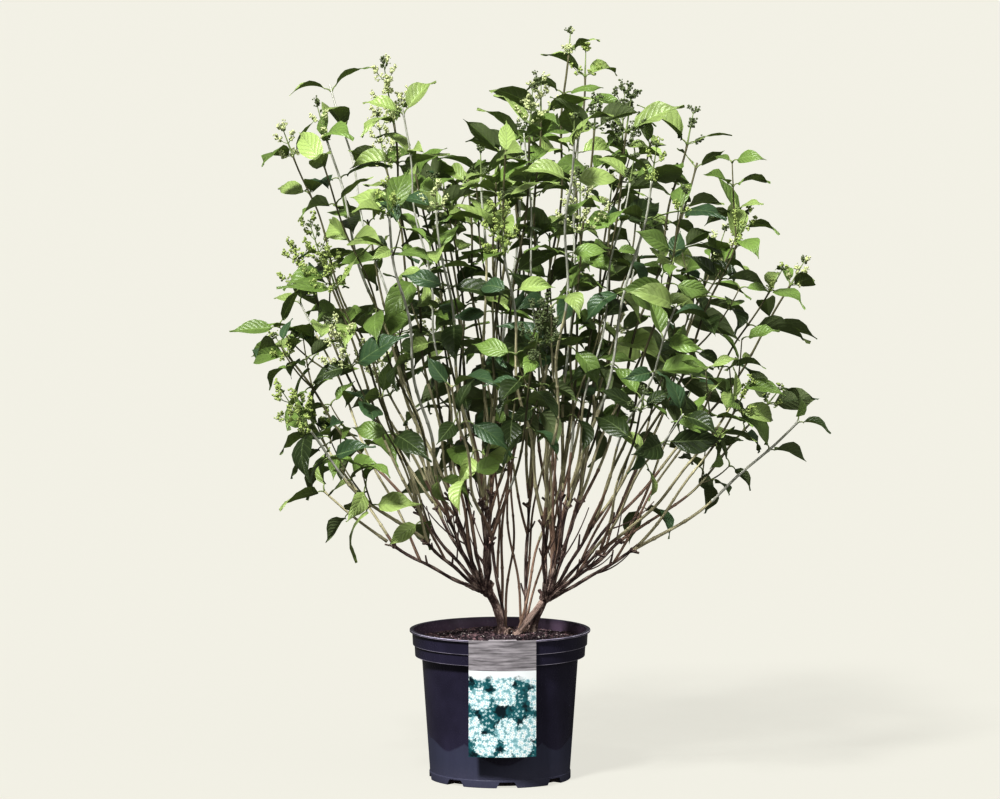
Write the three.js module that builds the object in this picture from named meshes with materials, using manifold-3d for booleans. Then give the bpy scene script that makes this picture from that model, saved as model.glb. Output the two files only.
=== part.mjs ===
// A panicle hydrangea shrub in its nursery pot, with a picture label hooked over the pot's rim.
// Millimetres, +Z up, the front towards -Y. The origin is the centre of the pot's flat underside.
//
// Two leaning stems, a cross stem and two upright ones stand in the soil. Boughs fan out from the heads
// of the leaning stems and end at pruned knuckles. From each knuckle a mass goes on: canes that curve
// upwards, leaves in opposite pairs along them, and a panicle of buds at most tips.
import * as THREE from "three";
import { mergeVertices } from "three/addons/utils/BufferGeometryUtils.js";
import Module from "manifold-3d";

const wasm = await Module();
wasm.setup();

// Clearance that touching pieces keep.
const SEAT_GAP = 0.3;

// Pot: a tapered shell of thin plastic with two stepped bands under a lip.
const POT_HEIGHT = 232;
const LIP_RADIUS = 140;
const LIP_OVERHANG = 4;
const LIP_THICKNESS = 3;
const BAND_DRAFT = 1;
const UPPER_BAND_BOTTOM = 208.5;
const LOWER_BAND_RADIUS = 132.4;
const LOWER_BAND_BOTTOM = 191;
const BODY_TOP_RADIUS = 121;
const BODY_FOOT_RADIUS = 108.6;
const COLLAR_HEIGHT = 11;
const COLLAR_STEP = 1;
const POT_WALL = 2;
const POT_FLOOR = 3;
const POT_SIDES = 32;

// Drain notches round the pot's foot.
const NOTCH_COUNT = 8;
const NOTCH_TURN_DEG = 5.7;
const NOTCH_FOOT_WIDTH = 34;
const NOTCH_TOP_WIDTH = 23;
const NOTCH_HEIGHT = 9;
const NOTCH_START_BELOW = 1;
const NOTCH_REACH = 26;

// Soil: fills the pot and rises to a low plateau round the stems.
const SOIL_EDGE_Z = 214;
const SOIL_TOP_Z = 226;
const PLATEAU_RADIUS = 62;

// Label: a thin card that follows the rim, with a tab folded over the lip.
const LABEL_WIDTH = 106;
const LABEL_DROP = 179;
const LABEL_THICKNESS = 0.8;
const LABEL_LIP_GAP = 1.1;
const LABEL_TURN_DEG = 1.6;
const TAB_WIDTH = 44;
const TAB_INNER_RADIUS = 131.1;
const TAB_BOTTOM_Z = 217;
const STRIP_SEGMENTS = 6;

// Stems: the foot of each, its head, both measured from the soil plateau at the pot's axis, and the
// point its line bends towards.
const LEFT_STEM = {
  foot: [3, -4, 0],
  bend: [4, -3, 36],
  head: [-19, 2, 64],
  footRadius: 10.5,
  radius: 6.4,
  knob: [10, 9, 8.5],
};
const RIGHT_STEM = {
  foot: [43, 9, 0],
  bend: [55, 8, 22],
  head: [69, 2, 53],
  footRadius: 10,
  radius: 6.2,
  knob: [10, 9, 8],
};
const CROSS_STEM = { foot: [15, -18, 0], bend: [44, -16, 22], footRadius: 6.3, radius: 4.3 };
const CROSS_JOINT_AT = 0.72;
const FLARE_HEIGHT = 16;
const FOOT_DEPTH = 14;
const STEM_SIDES = 9;
const STEM_STEPS = 6;
const KNOB_DETAIL = 1;

// Fan: every limb aims away from the apex, a point in the plateau under the middle of the crown.
const APEX_X = 24;
const CORE_FOOT_ASIDE = 13;
const CORE_FOOT_BACK = 27;
const CORE_FOOT_RADIUS = 4.6;
const BOUGH_RADIUS = 4.1;
const KNUCKLE_RADIUS = 3.4;
const STUB_LENGTH = 30;
const STUB_SPREAD = 7;
const KNUCKLE_DISTANCE = 155;
const CORE_KNUCKLE_RISE = 50;
const BOUGH_SIDES = 5;
const BOUGH_STEPS = 3;

// Crown: how far the canes' tips reach from the apex, upwards and sideways.
const TOP_REACH = 902;
const TOP_LEAN = -0.022;
const SIDE_REACH = 402;
const SIDE_LEAN = 0.045;
const REACH_JITTER = 0.02;
const AZIMUTH_JITTER_DEG = 8;
const TILT_JITTER_DEG = 2;
const RINGS = [
  { name: "core", count: 4, canes: 3, tilt: 7, sideTilt: 8, phase: 75, bend: 1, spread: 45 },
  { name: "inner", count: 6, canes: 2, tilt: 16, sideTilt: 17, phase: 12, bend: 6, spread: 55 },
  { name: "shoulder", count: 8, canes: 2, tilt: 26, sideTilt: 31, phase: 8, bend: 12, spread: 68 },
  { name: "skirt", count: 8, canes: 2, tilt: 37, sideTilt: 50, phase: -10, bend: 16, spread: 68 },
];

// Canes: the first goes on from its bough's knuckle and the others branch from its foot. They spread
// early and then run side by side. A cane without a panicle ends lower, as its last leaves rise past it.
const CANE_RADIUS = 3.6;
const CANE_TIP_RADIUS = 2;
const CANE_TURN = 0.7;
const CANE_STRAIGHT_SHARE = 0.42;
const CANE_EARLY_SPREAD = 0.62;
const CANE_SHORTENING = 0.16;
const LEAFY_TIP_SHORTENING = 0.055;
const FORK_LENGTH = 14;
const CANE_SIDES = 3;
const CANE_STEPS = 5;

// Leaves, larger and further apart than on the living shrub.
const LEAFY_FROM = 312;
const PAIR_SPACING = 75;
const LEAF_LENGTH = 100;
const LEAF_WIDTH = 50;
const LEAF_ROOT = 3.2;
const LEAF_ROOT_ASIDE = 0.4;
const LEAF_FOLD = 5;
const LEAF_WIDEST = 0.5;
const LEAF_FOOT_ANGLE_DEG = 82;
const LEAF_TIP_ANGLE_DEG = 42;
const LEAF_TURN = 0.3;
const LEAF_TURN_PER_TRY = 0.14;
const LEAF_ROLL = 0.65;
const LEAF_DROOP = 0.7;
const LEAF_FOOT_SIZE = 1.04;
const LEAF_TIP_SIZE = 0.79;
const LEAF_SIZE_JITTER = 0.06;
const LEAF_SHRINK_PER_TRY = 0.045;
const LEAF_LOWEST_Z = 330;
const LEAF_TRIES = 9;
const FIRST_PAIR_AT = 0.05;
const LAST_PAIR_AT = 0.985;
const SPACE_MARGIN = 3.2;
const LIMB_MARGIN = 6;
const CROSSING_LIMIT = 0.05;
const PROBE_HALFWAY = 0.5;
const PROBE_NEAR_WIDEST = 0.6;

// Panicles: a cane that blooms swells to a spindle over its last stretch.
const PANICLE_LENGTH = 78;
const PANICLE_RADIUS = 19;
const PANICLE_WIDEST = 0.3;
const PANICLE_SHARE = 0.72;

const SEED = 35;
const CANE_SEED_STEP = 7;
const LEAF_SEED_STEP = 13;
const SEED_MULTIPLIER = 2654435761;
const STREAM_MULTIPLIER = 1664525;
const STREAM_INCREMENT = 1013904223;
const STREAM_SIZE = 4294967296;
const MERGE_DISTANCE = 1e-4;
const COLOURS = {
  pot: { color: 0x24222e, roughness: 0.42, metalness: 0 },
  soil: { color: 0x35271f, roughness: 0.95, metalness: 0 },
  label: { color: 0xa9d3d2, roughness: 0.35, metalness: 0 },
  bark: { color: 0x5b473c, roughness: 0.85, metalness: 0 },
  foliage: { color: 0x4d8a35, roughness: 0.55, metalness: 0 },
};

const X_AXIS = new THREE.Vector3(1, 0, 0);
const Z_AXIS = new THREE.Vector3(0, 0, 1);
const radians = THREE.MathUtils.degToRad;
const apex = new THREE.Vector3(APEX_X, 0, SOIL_TOP_Z);

// Seeded random numbers

// A stream of numbers from 0 to 1 that is the same for the same seed.
function randomStream(seed) {
  let state = Math.imul(seed + 1, SEED_MULTIPLIER) >>> 0;
  const next = () => {
    state = (Math.imul(state, STREAM_MULTIPLIER) + STREAM_INCREMENT) >>> 0;
    return state / STREAM_SIZE;
  };
  next();
  next();
  return next;
}

// A number from -size to size.
function spread(random, size) {
  return (2 * random() - 1) * size;
}

// Solids from three.js geometries

function solidOf(geometry) {
  const bare = geometry.clone();
  bare.deleteAttribute("normal");
  bare.deleteAttribute("uv");
  const merged = mergeVertices(bare, MERGE_DISTANCE);
  return new wasm.Manifold(
    new wasm.Mesh({
      numProp: 3,
      vertProperties: Float32Array.from(merged.attributes.position.array),
      triVerts: Uint32Array.from(merged.index.array),
    }),
  );
}

function geometryOf(solid) {
  const mesh = solid.getMesh();
  const geometry = new THREE.BufferGeometry();
  geometry.setAttribute("position", new THREE.BufferAttribute(mesh.vertProperties, 3));
  geometry.setIndex(new THREE.BufferAttribute(mesh.triVerts, 1));
  geometry.computeVertexNormals();
  return geometry;
}

// The solids joined into one body. Loose scraps and sealed hollows are left out.
function joined(solids) {
  const bodies = wasm.Manifold.union(solids).decompose();
  return bodies.reduce((best, body) => (body.volume() > best.volume() ? body : best));
}

function meshFromTriangles(points, triangles) {
  const geometry = new THREE.BufferGeometry();
  geometry.setFromPoints(points);
  geometry.setIndex(triangles.flat());
  return geometry;
}

// The same number of points round each ring, joined ring to ring, with flat ends.
function loft(rings) {
  const sides = rings[0].length;
  const triangles = [];
  for (let k = 0; k + 1 < rings.length; k++) {
    for (let i = 0; i < sides; i++) {
      const here = k * sides + i;
      const next = k * sides + ((i + 1) % sides);
      triangles.push([here, next, next + sides], [here, next + sides, here + sides]);
    }
  }
  const last = (rings.length - 1) * sides;
  for (let i = 1; i + 1 < sides; i++) {
    triangles.push([0, i + 1, i], [last, last + i, last + i + 1]);
  }
  return solidOf(meshFromTriangles(rings.flat(), triangles));
}

// Two directions square to a limb's own direction.
function sideDirections(along) {
  const u = X_AXIS.clone().addScaledVector(along, -X_AXIS.dot(along)).normalize();
  const v = new THREE.Vector3().crossVectors(along, u);
  return [u, v];
}

function ringAround(centre, along, radius, sides) {
  const [u, v] = sideDirections(along);
  return Array.from({ length: sides }, (_, i) => {
    const angle = (2 * Math.PI * i) / sides;
    return centre
      .clone()
      .addScaledVector(u, radius * Math.cos(angle))
      .addScaledVector(v, radius * Math.sin(angle));
  });
}

// A round limb along part of a curve. radiusAt gives its radius at a point of the curve.
function limb(curve, from, to, radiusAt, sides, steps) {
  const rings = [];
  for (let k = 0; k <= steps; k++) {
    const t = THREE.MathUtils.lerp(from, to, k / steps);
    rings.push(ringAround(curve.getPoint(t), curve.getTangent(t), radiusAt(t), sides));
  }
  return loft(rings);
}

// Pot, soil and label

function turned(profile) {
  const points = profile.map(([radius, z]) => new THREE.Vector2(radius, z));
  const geometry = new THREE.LatheGeometry(points, POT_SIDES);
  geometry.rotateX(Math.PI / 2);
  return solidOf(geometry);
}

const lipTop = POT_HEIGHT;
const upperBandTopRadius = LIP_RADIUS - LIP_OVERHANG;
const upperBandRadius = upperBandTopRadius - BAND_DRAFT;
const lowerBandFootRadius = LOWER_BAND_RADIUS - BAND_DRAFT;

// The pot's inner wall from the floor up, moved inwards and upwards by a gap.
function innerWall(gap) {
  return [
    [BODY_FOOT_RADIUS - POT_WALL - gap, POT_FLOOR + gap],
    [BODY_TOP_RADIUS - POT_WALL - gap, LOWER_BAND_BOTTOM + POT_WALL + gap],
    [lowerBandFootRadius - POT_WALL - gap, LOWER_BAND_BOTTOM + POT_WALL + gap],
    [LOWER_BAND_RADIUS - POT_WALL - gap, UPPER_BAND_BOTTOM + POT_WALL + gap],
    [upperBandRadius - POT_WALL - gap, UPPER_BAND_BOTTOM + POT_WALL + gap],
  ];
}

function drainNotch(index) {
  const shape = new THREE.Shape();
  shape.moveTo(-NOTCH_FOOT_WIDTH / 2, -NOTCH_START_BELOW);
  shape.lineTo(NOTCH_FOOT_WIDTH / 2, -NOTCH_START_BELOW);
  shape.lineTo(NOTCH_TOP_WIDTH / 2, NOTCH_HEIGHT);
  shape.lineTo(-NOTCH_TOP_WIDTH / 2, NOTCH_HEIGHT);
  shape.closePath();
  const geometry = new THREE.ExtrudeGeometry(shape, { depth: 2 * NOTCH_REACH, bevelEnabled: false });
  geometry.rotateX(Math.PI / 2);
  geometry.translate(0, -(BODY_FOOT_RADIUS - NOTCH_REACH), 0);
  geometry.rotateZ(radians(NOTCH_TURN_DEG + (360 * index) / NOTCH_COUNT));
  return solidOf(geometry);
}

function potSolid() {
  const collarRadius = BODY_FOOT_RADIUS + COLLAR_STEP;
  const shell = turned([
    [0, 0],
    [collarRadius, 0],
    [collarRadius, COLLAR_HEIGHT],
    [BODY_FOOT_RADIUS, COLLAR_HEIGHT + COLLAR_STEP],
    [BODY_TOP_RADIUS, LOWER_BAND_BOTTOM],
    [lowerBandFootRadius, LOWER_BAND_BOTTOM],
    [LOWER_BAND_RADIUS, UPPER_BAND_BOTTOM],
    [upperBandRadius, UPPER_BAND_BOTTOM],
    [upperBandTopRadius, lipTop - LIP_THICKNESS],
    [LIP_RADIUS, lipTop - LIP_THICKNESS],
    [LIP_RADIUS, lipTop],
    [upperBandTopRadius - POT_WALL, lipTop],
    ...innerWall(0).reverse(),
    [0, POT_FLOOR],
  ]);
  const notches = Array.from({ length: NOTCH_COUNT }, (_, index) => drainNotch(index));
  return shell.subtract(wasm.Manifold.union(notches));
}

function soilSolid() {
  return turned([
    [0, POT_FLOOR + SEAT_GAP],
    ...innerWall(SEAT_GAP),
    [upperBandRadius - POT_WALL - SEAT_GAP, SOIL_EDGE_Z],
    [PLATEAU_RADIUS, SOIL_TOP_Z],
    [0, SOIL_TOP_Z],
  ]);
}

// A curved strip that stands on the circle between two radii, centred on the label's own direction.
function strip(innerRadius, outerRadius, width, bottom, top) {
  const half = width / 2 / outerRadius;
  const middle = radians(-90 + LABEL_TURN_DEG);
  const shape = new THREE.Shape();
  shape.absarc(0, 0, outerRadius, middle - half, middle + half, false);
  shape.absarc(0, 0, innerRadius, middle + half, middle - half, true);
  shape.closePath();
  const options = { depth: top - bottom, bevelEnabled: false, curveSegments: STRIP_SEGMENTS };
  const geometry = new THREE.ExtrudeGeometry(shape, options);
  geometry.translate(0, 0, bottom);
  return solidOf(geometry);
}

function labelSolid() {
  const innerFace = LIP_RADIUS + LABEL_LIP_GAP;
  const outerFace = innerFace + LABEL_THICKNESS;
  const foldBottom = lipTop + SEAT_GAP;
  const foldTop = foldBottom + LABEL_THICKNESS;
  return joined([
    strip(innerFace, outerFace, LABEL_WIDTH, lipTop - LABEL_DROP, foldTop),
    strip(TAB_INNER_RADIUS, outerFace, TAB_WIDTH, foldBottom, foldTop),
    strip(TAB_INNER_RADIUS, TAB_INNER_RADIUS + LABEL_THICKNESS, TAB_WIDTH, TAB_BOTTOM_Z, foldTop),
  ]);
}

// The shrub's plan: where each limb starts, bends and ends

function direction(tilt, azimuth) {
  const flat = Math.sin(tilt);
  return new THREE.Vector3(flat * Math.cos(azimuth), flat * Math.sin(azimuth), Math.cos(tilt));
}

// A point given from the soil plateau at the pot's axis.
function fromSoil([x, y, z]) {
  return new THREE.Vector3(x, y, SOIL_TOP_Z + z);
}

// A line from start to end that sets out leaning further from upright than it ends.
function risingCurve(start, end, bendDegrees) {
  const chord = end.clone().sub(start);
  const length = chord.length();
  const tilt = Math.acos(chord.z / length) + radians(bendDegrees);
  const control = direction(tilt, Math.atan2(chord.y, chord.x)).multiplyScalar(length / 2);
  return new THREE.QuadraticBezierCurve3(start, control.add(start), end);
}

// How far a cane's tip lies from the apex. The crown has upright sides and a domed top. It is a little
// taller on the left and fuller on the right.
function reachAt(tilt, azimuth) {
  const top = TOP_REACH * (1 + TOP_LEAN * Math.cos(azimuth));
  const side = SIDE_REACH * (1 + SIDE_LEAN * Math.cos(azimuth));
  return Math.min(top, side / Math.sin(tilt));
}

// One plan for each mass: its axis runs from a stem's head, or from the soil, to the crown's surface.
function massPlans() {
  const plans = [];
  for (const ring of RINGS) {
    for (let k = 0; k < ring.count; k++) {
      const random = randomStream(SEED + plans.length);
      const turn = ring.phase + (360 * k) / ring.count + spread(random, AZIMUTH_JITTER_DEG);
      const azimuth = radians(turn);
      const sideways = Math.cos(azimuth) ** 2;
      const lean = THREE.MathUtils.lerp(ring.tilt, ring.sideTilt, sideways);
      const tilt = radians(lean + spread(random, TILT_JITTER_DEG));
      const reach = reachAt(tilt, azimuth) * (1 + spread(random, REACH_JITTER));
      const tip = direction(tilt, azimuth).multiplyScalar(reach).add(apex);
      const outwards = direction(Math.PI / 2, azimuth);
      const ownStem = ring.name === "core" && outwards.y > 0;
      const stem = tip.x < apex.x ? "left" : "right";
      const head = fromSoil(stem === "left" ? LEFT_STEM.head : RIGHT_STEM.head);
      const start = ownStem
        ? new THREE.Vector3(CORE_FOOT_ASIDE * Math.sign(outwards.x), CORE_FOOT_BACK, -FOOT_DEPTH).add(apex)
        : head.addScaledVector(outwards, STUB_SPREAD);
      const axis = risingCurve(start, tip, ring.bend);
      const knuckleDistance = KNUCKLE_DISTANCE + (ownStem ? CORE_KNUCKLE_RISE : 0);
      plans.push({
        name: `${ring.name}_${k + 1}`,
        index: plans.length,
        ownStem,
        stem,
        axis,
        knuckleAt: knuckleDistance / start.distanceTo(tip),
        caneCount: ring.canes,
        caneSpread: ring.spread,
      });
    }
  }
  return plans;
}

// The curve parameter at a short distance along a curve from its start.
function parameterNear(curve, distance) {
  return distance / (2 * curve.v0.distanceTo(curve.v1));
}

// The canes of one mass, from just clear of its bough's knuckle to their tips.
function canesOf(plan) {
  const random = randomStream(SEED * CANE_SEED_STEP + plan.index);
  const { axis, knuckleAt } = plan;
  const onward = axis.getTangent(knuckleAt);
  const foot = axis.getPoint(knuckleAt).addScaledVector(onward, SEAT_GAP);
  const [u, v] = sideDirections(axis.getTangent(1));
  const firstTurn = spread(random, CANE_TURN);
  return Array.from({ length: plan.caneCount }, (_, j) => {
    const turn = firstTurn + (2 * Math.PI * j) / plan.caneCount;
    const aside = u.clone().multiplyScalar(Math.cos(turn)).addScaledVector(v, Math.sin(turn));
    aside.multiplyScalar(plan.caneSpread);
    const blooms = random() < PANICLE_SHARE;
    const shortening = (j === 0 ? 0 : CANE_SHORTENING * random()) + (blooms ? 0 : LEAFY_TIP_SHORTENING);
    const start = foot.clone().addScaledVector(onward, j * FORK_LENGTH);
    const end = axis.getPoint(1 - shortening).add(aside);
    const run = start.distanceTo(end);
    const control = start.clone().addScaledVector(onward, run * CANE_STRAIGHT_SHARE);
    control.addScaledVector(aside, CANE_EARLY_SPREAD);
    const curve = new THREE.QuadraticBezierCurve3(start, control, end);
    return { curve, onward, length: run, blooms, firstPair: Math.PI * random() };
  });
}

// Stems and boughs

function groundBlock() {
  const block = new THREE.BoxGeometry(4 * LIP_RADIUS, 4 * LIP_RADIUS, SOIL_TOP_Z);
  block.translate(0, 0, SOIL_TOP_Z / 2 + SEAT_GAP);
  return solidOf(block);
}

// A stem's radius at a height over the soil: it flares towards its foot.
function flaredRadius(height, footRadius, radius) {
  const share = THREE.MathUtils.clamp(1 - height / FLARE_HEIGHT, 0, 1);
  return radius + (footRadius - radius) * share * share;
}

function stemCurve({ foot, bend }, head) {
  const start = fromSoil(foot).addScaledVector(Z_AXIS, -FOOT_DEPTH);
  return new THREE.QuadraticBezierCurve3(start, fromSoil(bend), head);
}

function stemLimb(curve, stem, to) {
  const radiusAt = (t) => flaredRadius(curve.getPoint(t).z - SOIL_TOP_Z, stem.footRadius, stem.radius);
  return limb(curve, 0, to, radiusAt, STEM_SIDES, STEM_STEPS);
}

// The pruned lump at a stem's head, and the stubs that its boughs go on from.
function headParts(stem, head, axes) {
  const knob = new THREE.IcosahedronGeometry(1, KNOB_DETAIL);
  knob.scale(...stem.knob);
  knob.translate(head.x, head.y, head.z);
  const stubs = axes.map((axis) =>
    limb(axis, 0, parameterNear(axis, STUB_LENGTH), () => BOUGH_RADIUS, BOUGH_SIDES, 1),
  );
  return [solidOf(knob), ...stubs];
}

function leaningStem(stem, axes, extras = []) {
  const head = fromSoil(stem.head);
  const trunk = stemLimb(stemCurve(stem, head), stem, 1);
  return joined([trunk, ...headParts(stem, head, axes), ...extras]).subtract(groundBlock());
}

// The cross stem runs from its own foot to the right stem's head. Its last stretch belongs to that head.
function crossStemParts() {
  const curve = stemCurve(CROSS_STEM, fromSoil(RIGHT_STEM.head));
  const gap = SEAT_GAP / curve.getLength();
  const radiusAt = () => CROSS_STEM.radius;
  return {
    stem: stemLimb(curve, CROSS_STEM, CROSS_JOINT_AT - gap).subtract(groundBlock()),
    stub: limb(curve, CROSS_JOINT_AT, 1, radiusAt, STEM_SIDES, 2),
  };
}

// A core stem stands in the soil, and a bough starts at its stub. Both end at their knuckle.
function boughSolid(plan) {
  const { axis, knuckleAt } = plan;
  if (plan.ownStem) {
    const radiusAt = (t) => {
      const radius = THREE.MathUtils.lerp(BOUGH_RADIUS, KNUCKLE_RADIUS, t / knuckleAt);
      return flaredRadius(axis.getPoint(t).z - SOIL_TOP_Z, CORE_FOOT_RADIUS, radius);
    };
    return limb(axis, 0, knuckleAt, radiusAt, BOUGH_SIDES, BOUGH_STEPS).subtract(groundBlock());
  }
  const from = parameterNear(axis, STUB_LENGTH + SEAT_GAP);
  const radiusAt = (t) =>
    THREE.MathUtils.mapLinear(t, from, knuckleAt, BOUGH_RADIUS, KNUCKLE_RADIUS);
  return limb(axis, from, knuckleAt, radiusAt, BOUGH_SIDES, BOUGH_STEPS);
}

// Leaves and panicles

// A leaf folded along its rib, with six faces. Its root edge lies inside the cane.
function leafPoints({ root, along, up, length, width }) {
  const left = new THREE.Vector3().crossVectors(up, along);
  const at = (share, side, rise) =>
    root
      .clone()
      .addScaledVector(along, share * length)
      .addScaledVector(left, side)
      .addScaledVector(up, rise);
  return {
    rootTop: at(0, 0, LEAF_ROOT / 2),
    rootBottom: at(0, 0, -LEAF_ROOT / 2),
    left: at(LEAF_WIDEST, width / 2, LEAF_FOLD),
    right: at(LEAF_WIDEST, -width / 2, LEAF_FOLD),
    tip: at(1, 0, 0),
  };
}

function leafSolid(leaf) {
  const p = leafPoints(leaf);
  const points = [p.rootTop, p.rootBottom, p.left, p.right, p.tip];
  const [rootTop, rootBottom, left, right, tip] = points.keys();
  return solidOf(
    meshFromTriangles(points, [
      [rootTop, tip, left],
      [rootTop, right, tip],
      [rootBottom, left, tip],
      [rootBottom, tip, right],
      [rootTop, left, rootBottom],
      [rootTop, rootBottom, right],
    ]),
  );
}

// Points that stand for a whole leaf when its space is tested.
function leafProbes(leaf) {
  const { root } = leaf;
  const { left, right, tip } = leafPoints(leaf);
  const between = (a, b, share) => a.clone().lerp(b, share);
  return [
    left,
    right,
    tip,
    between(left, tip, PROBE_HALFWAY),
    between(right, tip, PROBE_HALFWAY),
    between(root, left, PROBE_NEAR_WIDEST),
    between(root, right, PROBE_NEAR_WIDEST),
    between(root, tip, PROBE_HALFWAY),
  ];
}

// Points along a curve, as the straight stretches between them.
function stretches(curve, from, to, steps) {
  const points = Array.from({ length: steps + 1 }, (_, k) =>
    curve.getPoint(THREE.MathUtils.lerp(from, to, k / steps)),
  );
  return points.slice(1).map((point, k) => new THREE.Line3(points[k], point));
}

const nearest = new THREE.Vector3();
function distanceTo(lines, point) {
  let least = Infinity;
  for (const line of lines) {
    line.closestPointToPoint(point, true, nearest);
    least = Math.min(least, nearest.distanceToSquared(point));
  }
  return Math.sqrt(least);
}

// A point is in a mass's space when it is nearer to that mass's canes than to any other's, and clear
// of every bough.
function isInSpace(point, mass, masses, boughLines) {
  const own = distanceTo(mass.lines, point) + 2 * SPACE_MARGIN;
  return (
    point.z > LEAF_LOWEST_Z &&
    masses.every((other) => other === mass || distanceTo(other.lines, point) > own) &&
    distanceTo(boughLines, point) > LIMB_MARGIN
  );
}

// One leaf at a node of a cane, turned until it fits its mass's space. None if it never fits.
function growLeaf(cane, t, turn, random, fits) {
  const { lerp } = THREE.MathUtils;
  const along = cane.curve.getTangent(t);
  const [u, v] = sideDirections(along);
  const youth = t * t;
  const open = radians(lerp(LEAF_FOOT_ANGLE_DEG, LEAF_TIP_ANGLE_DEG, youth));
  for (let attempt = 0; attempt < LEAF_TRIES; attempt++) {
    const angle = turn + spread(random, LEAF_TURN + LEAF_TURN_PER_TRY * attempt);
    const side = u.clone().multiplyScalar(Math.cos(angle)).addScaledVector(v, Math.sin(angle));
    const axis = along.clone().multiplyScalar(Math.cos(open)).addScaledVector(side, Math.sin(open));
    axis.addScaledVector(Z_AXIS, -LEAF_DROOP * random() * (1 - youth)).normalize();
    const up = along.clone().addScaledVector(axis, -along.dot(axis)).normalize();
    up.applyAxisAngle(axis, spread(random, LEAF_ROLL));
    const grown = lerp(LEAF_FOOT_SIZE, LEAF_TIP_SIZE, youth) * (1 - LEAF_SHRINK_PER_TRY * attempt);
    const size = grown + spread(random, LEAF_SIZE_JITTER);
    const leaf = {
      root: cane.curve.getPoint(t).addScaledVector(axis, LEAF_ROOT_ASIDE),
      along: axis,
      up,
      length: LEAF_LENGTH * size,
      width: LEAF_WIDTH * size,
    };
    if (fits(leaf)) {
      return;
    }
  }
}

// Opposite pairs up a cane, each a quarter turn on from the pair below.
function growLeaves(cane, random, fits) {
  const last = cane.blooms ? 1 - PANICLE_LENGTH / cane.length : LAST_PAIR_AT;
  const pairs = Math.floor((last * cane.length) / PAIR_SPACING);
  for (let k = 0; k <= pairs; k++) {
    const t = last - (k * PAIR_SPACING) / cane.length;
    if (t < FIRST_PAIR_AT || cane.curve.getPoint(t).distanceTo(apex) < LEAFY_FROM) {
      continue;
    }
    for (const opposite of [0, Math.PI]) {
      const turn = cane.firstPair + (k * Math.PI) / 2 + opposite;
      growLeaf(cane, t, turn, random, fits);
    }
  }
}

// A cane's rings, evenly up to its tip, or up to the panicle that it ends in. The first ring is
// parallel to its bough's end.
function caneSolid({ curve, onward, length, blooms }) {
  const woodEnd = blooms ? 1 - PANICLE_LENGTH / length : 1;
  const stops = Array.from({ length: CANE_STEPS + 1 }, (_, k) => {
    const share = k / CANE_STEPS;
    return { t: share * woodEnd, radius: THREE.MathUtils.lerp(CANE_RADIUS, CANE_TIP_RADIUS, share) };
  });
  if (blooms) {
    const waist = THREE.MathUtils.lerp(woodEnd, 1, PANICLE_WIDEST);
    stops.push({ t: waist, radius: PANICLE_RADIUS }, { t: 1, radius: CANE_TIP_RADIUS });
  }
  const alongAt = (t) => (t === 0 ? onward : curve.getTangent(t));
  return loft(
    stops.map(({ t, radius }) => ringAround(curve.getPoint(t), alongAt(t), radius, CANE_SIDES)),
  );
}

function massSolid(mass, masses, boughLines) {
  const random = randomStream(SEED * LEAF_SEED_STEP + mass.plan.index);
  const canes = mass.canes.map(caneSolid);
  const leaves = [];
  mass.canes.forEach((cane, own) => {
    const others = canes.filter((_, j) => j !== own);
    const fits = (leaf) => {
      const solid = leafSolid(leaf);
      const free =
        leafProbes(leaf).every((point) => isInSpace(point, mass, masses, boughLines)) &&
        [...others, ...leaves].every((other) => solid.intersect(other).volume() < CROSSING_LIMIT);
      if (free) {
        leaves.push(solid);
      }
      return free;
    };
    growLeaves(cane, random, fits);
  });
  return joined([...canes, ...leaves]);
}

// Assembly

const plant = new THREE.Group();

function add(name, solid, colour) {
  const material = new THREE.MeshStandardMaterial(COLOURS[colour]);
  const mesh = new THREE.Mesh(geometryOf(solid), material);
  mesh.name = name;
  plant.add(mesh);
}

const plans = massPlans();
const masses = plans.map((plan) => {
  const canes = canesOf(plan);
  const lines = canes.flatMap((cane) => stretches(cane.curve, 0, 1, CANE_STEPS));
  return { plan, canes, lines };
});
const boughLines = plans.flatMap((plan) => stretches(plan.axis, 0, plan.knuckleAt, BOUGH_STEPS));
const axesFrom = (stem) => plans.filter((p) => !p.ownStem && p.stem === stem).map((p) => p.axis);
const cross = crossStemParts();

add("pot", potSolid(), "pot");
add("soil", soilSolid(), "soil");
add("label", labelSolid(), "label");
add("stem_left", leaningStem(LEFT_STEM, axesFrom("left")), "bark");
add("stem_right", leaningStem(RIGHT_STEM, axesFrom("right"), [cross.stub]), "bark");
add("stem_cross", cross.stem, "bark");
for (const plan of plans) {
  add(`${plan.ownStem ? "stem" : "bough"}_${plan.name}`, boughSolid(plan), "bark");
}
for (const mass of masses) {
  add(`mass_${mass.plan.name}`, massSolid(mass, masses, boughLines), "foliage");
}

export default plant;
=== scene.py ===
"""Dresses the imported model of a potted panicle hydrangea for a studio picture."""

import functools
import math
from types import SimpleNamespace

import bmesh
import bpy
import numpy as np
from bpy.props import FloatProperty, FloatVectorProperty, IntProperty, PointerProperty
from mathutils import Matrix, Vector, kdtree, noise


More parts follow.
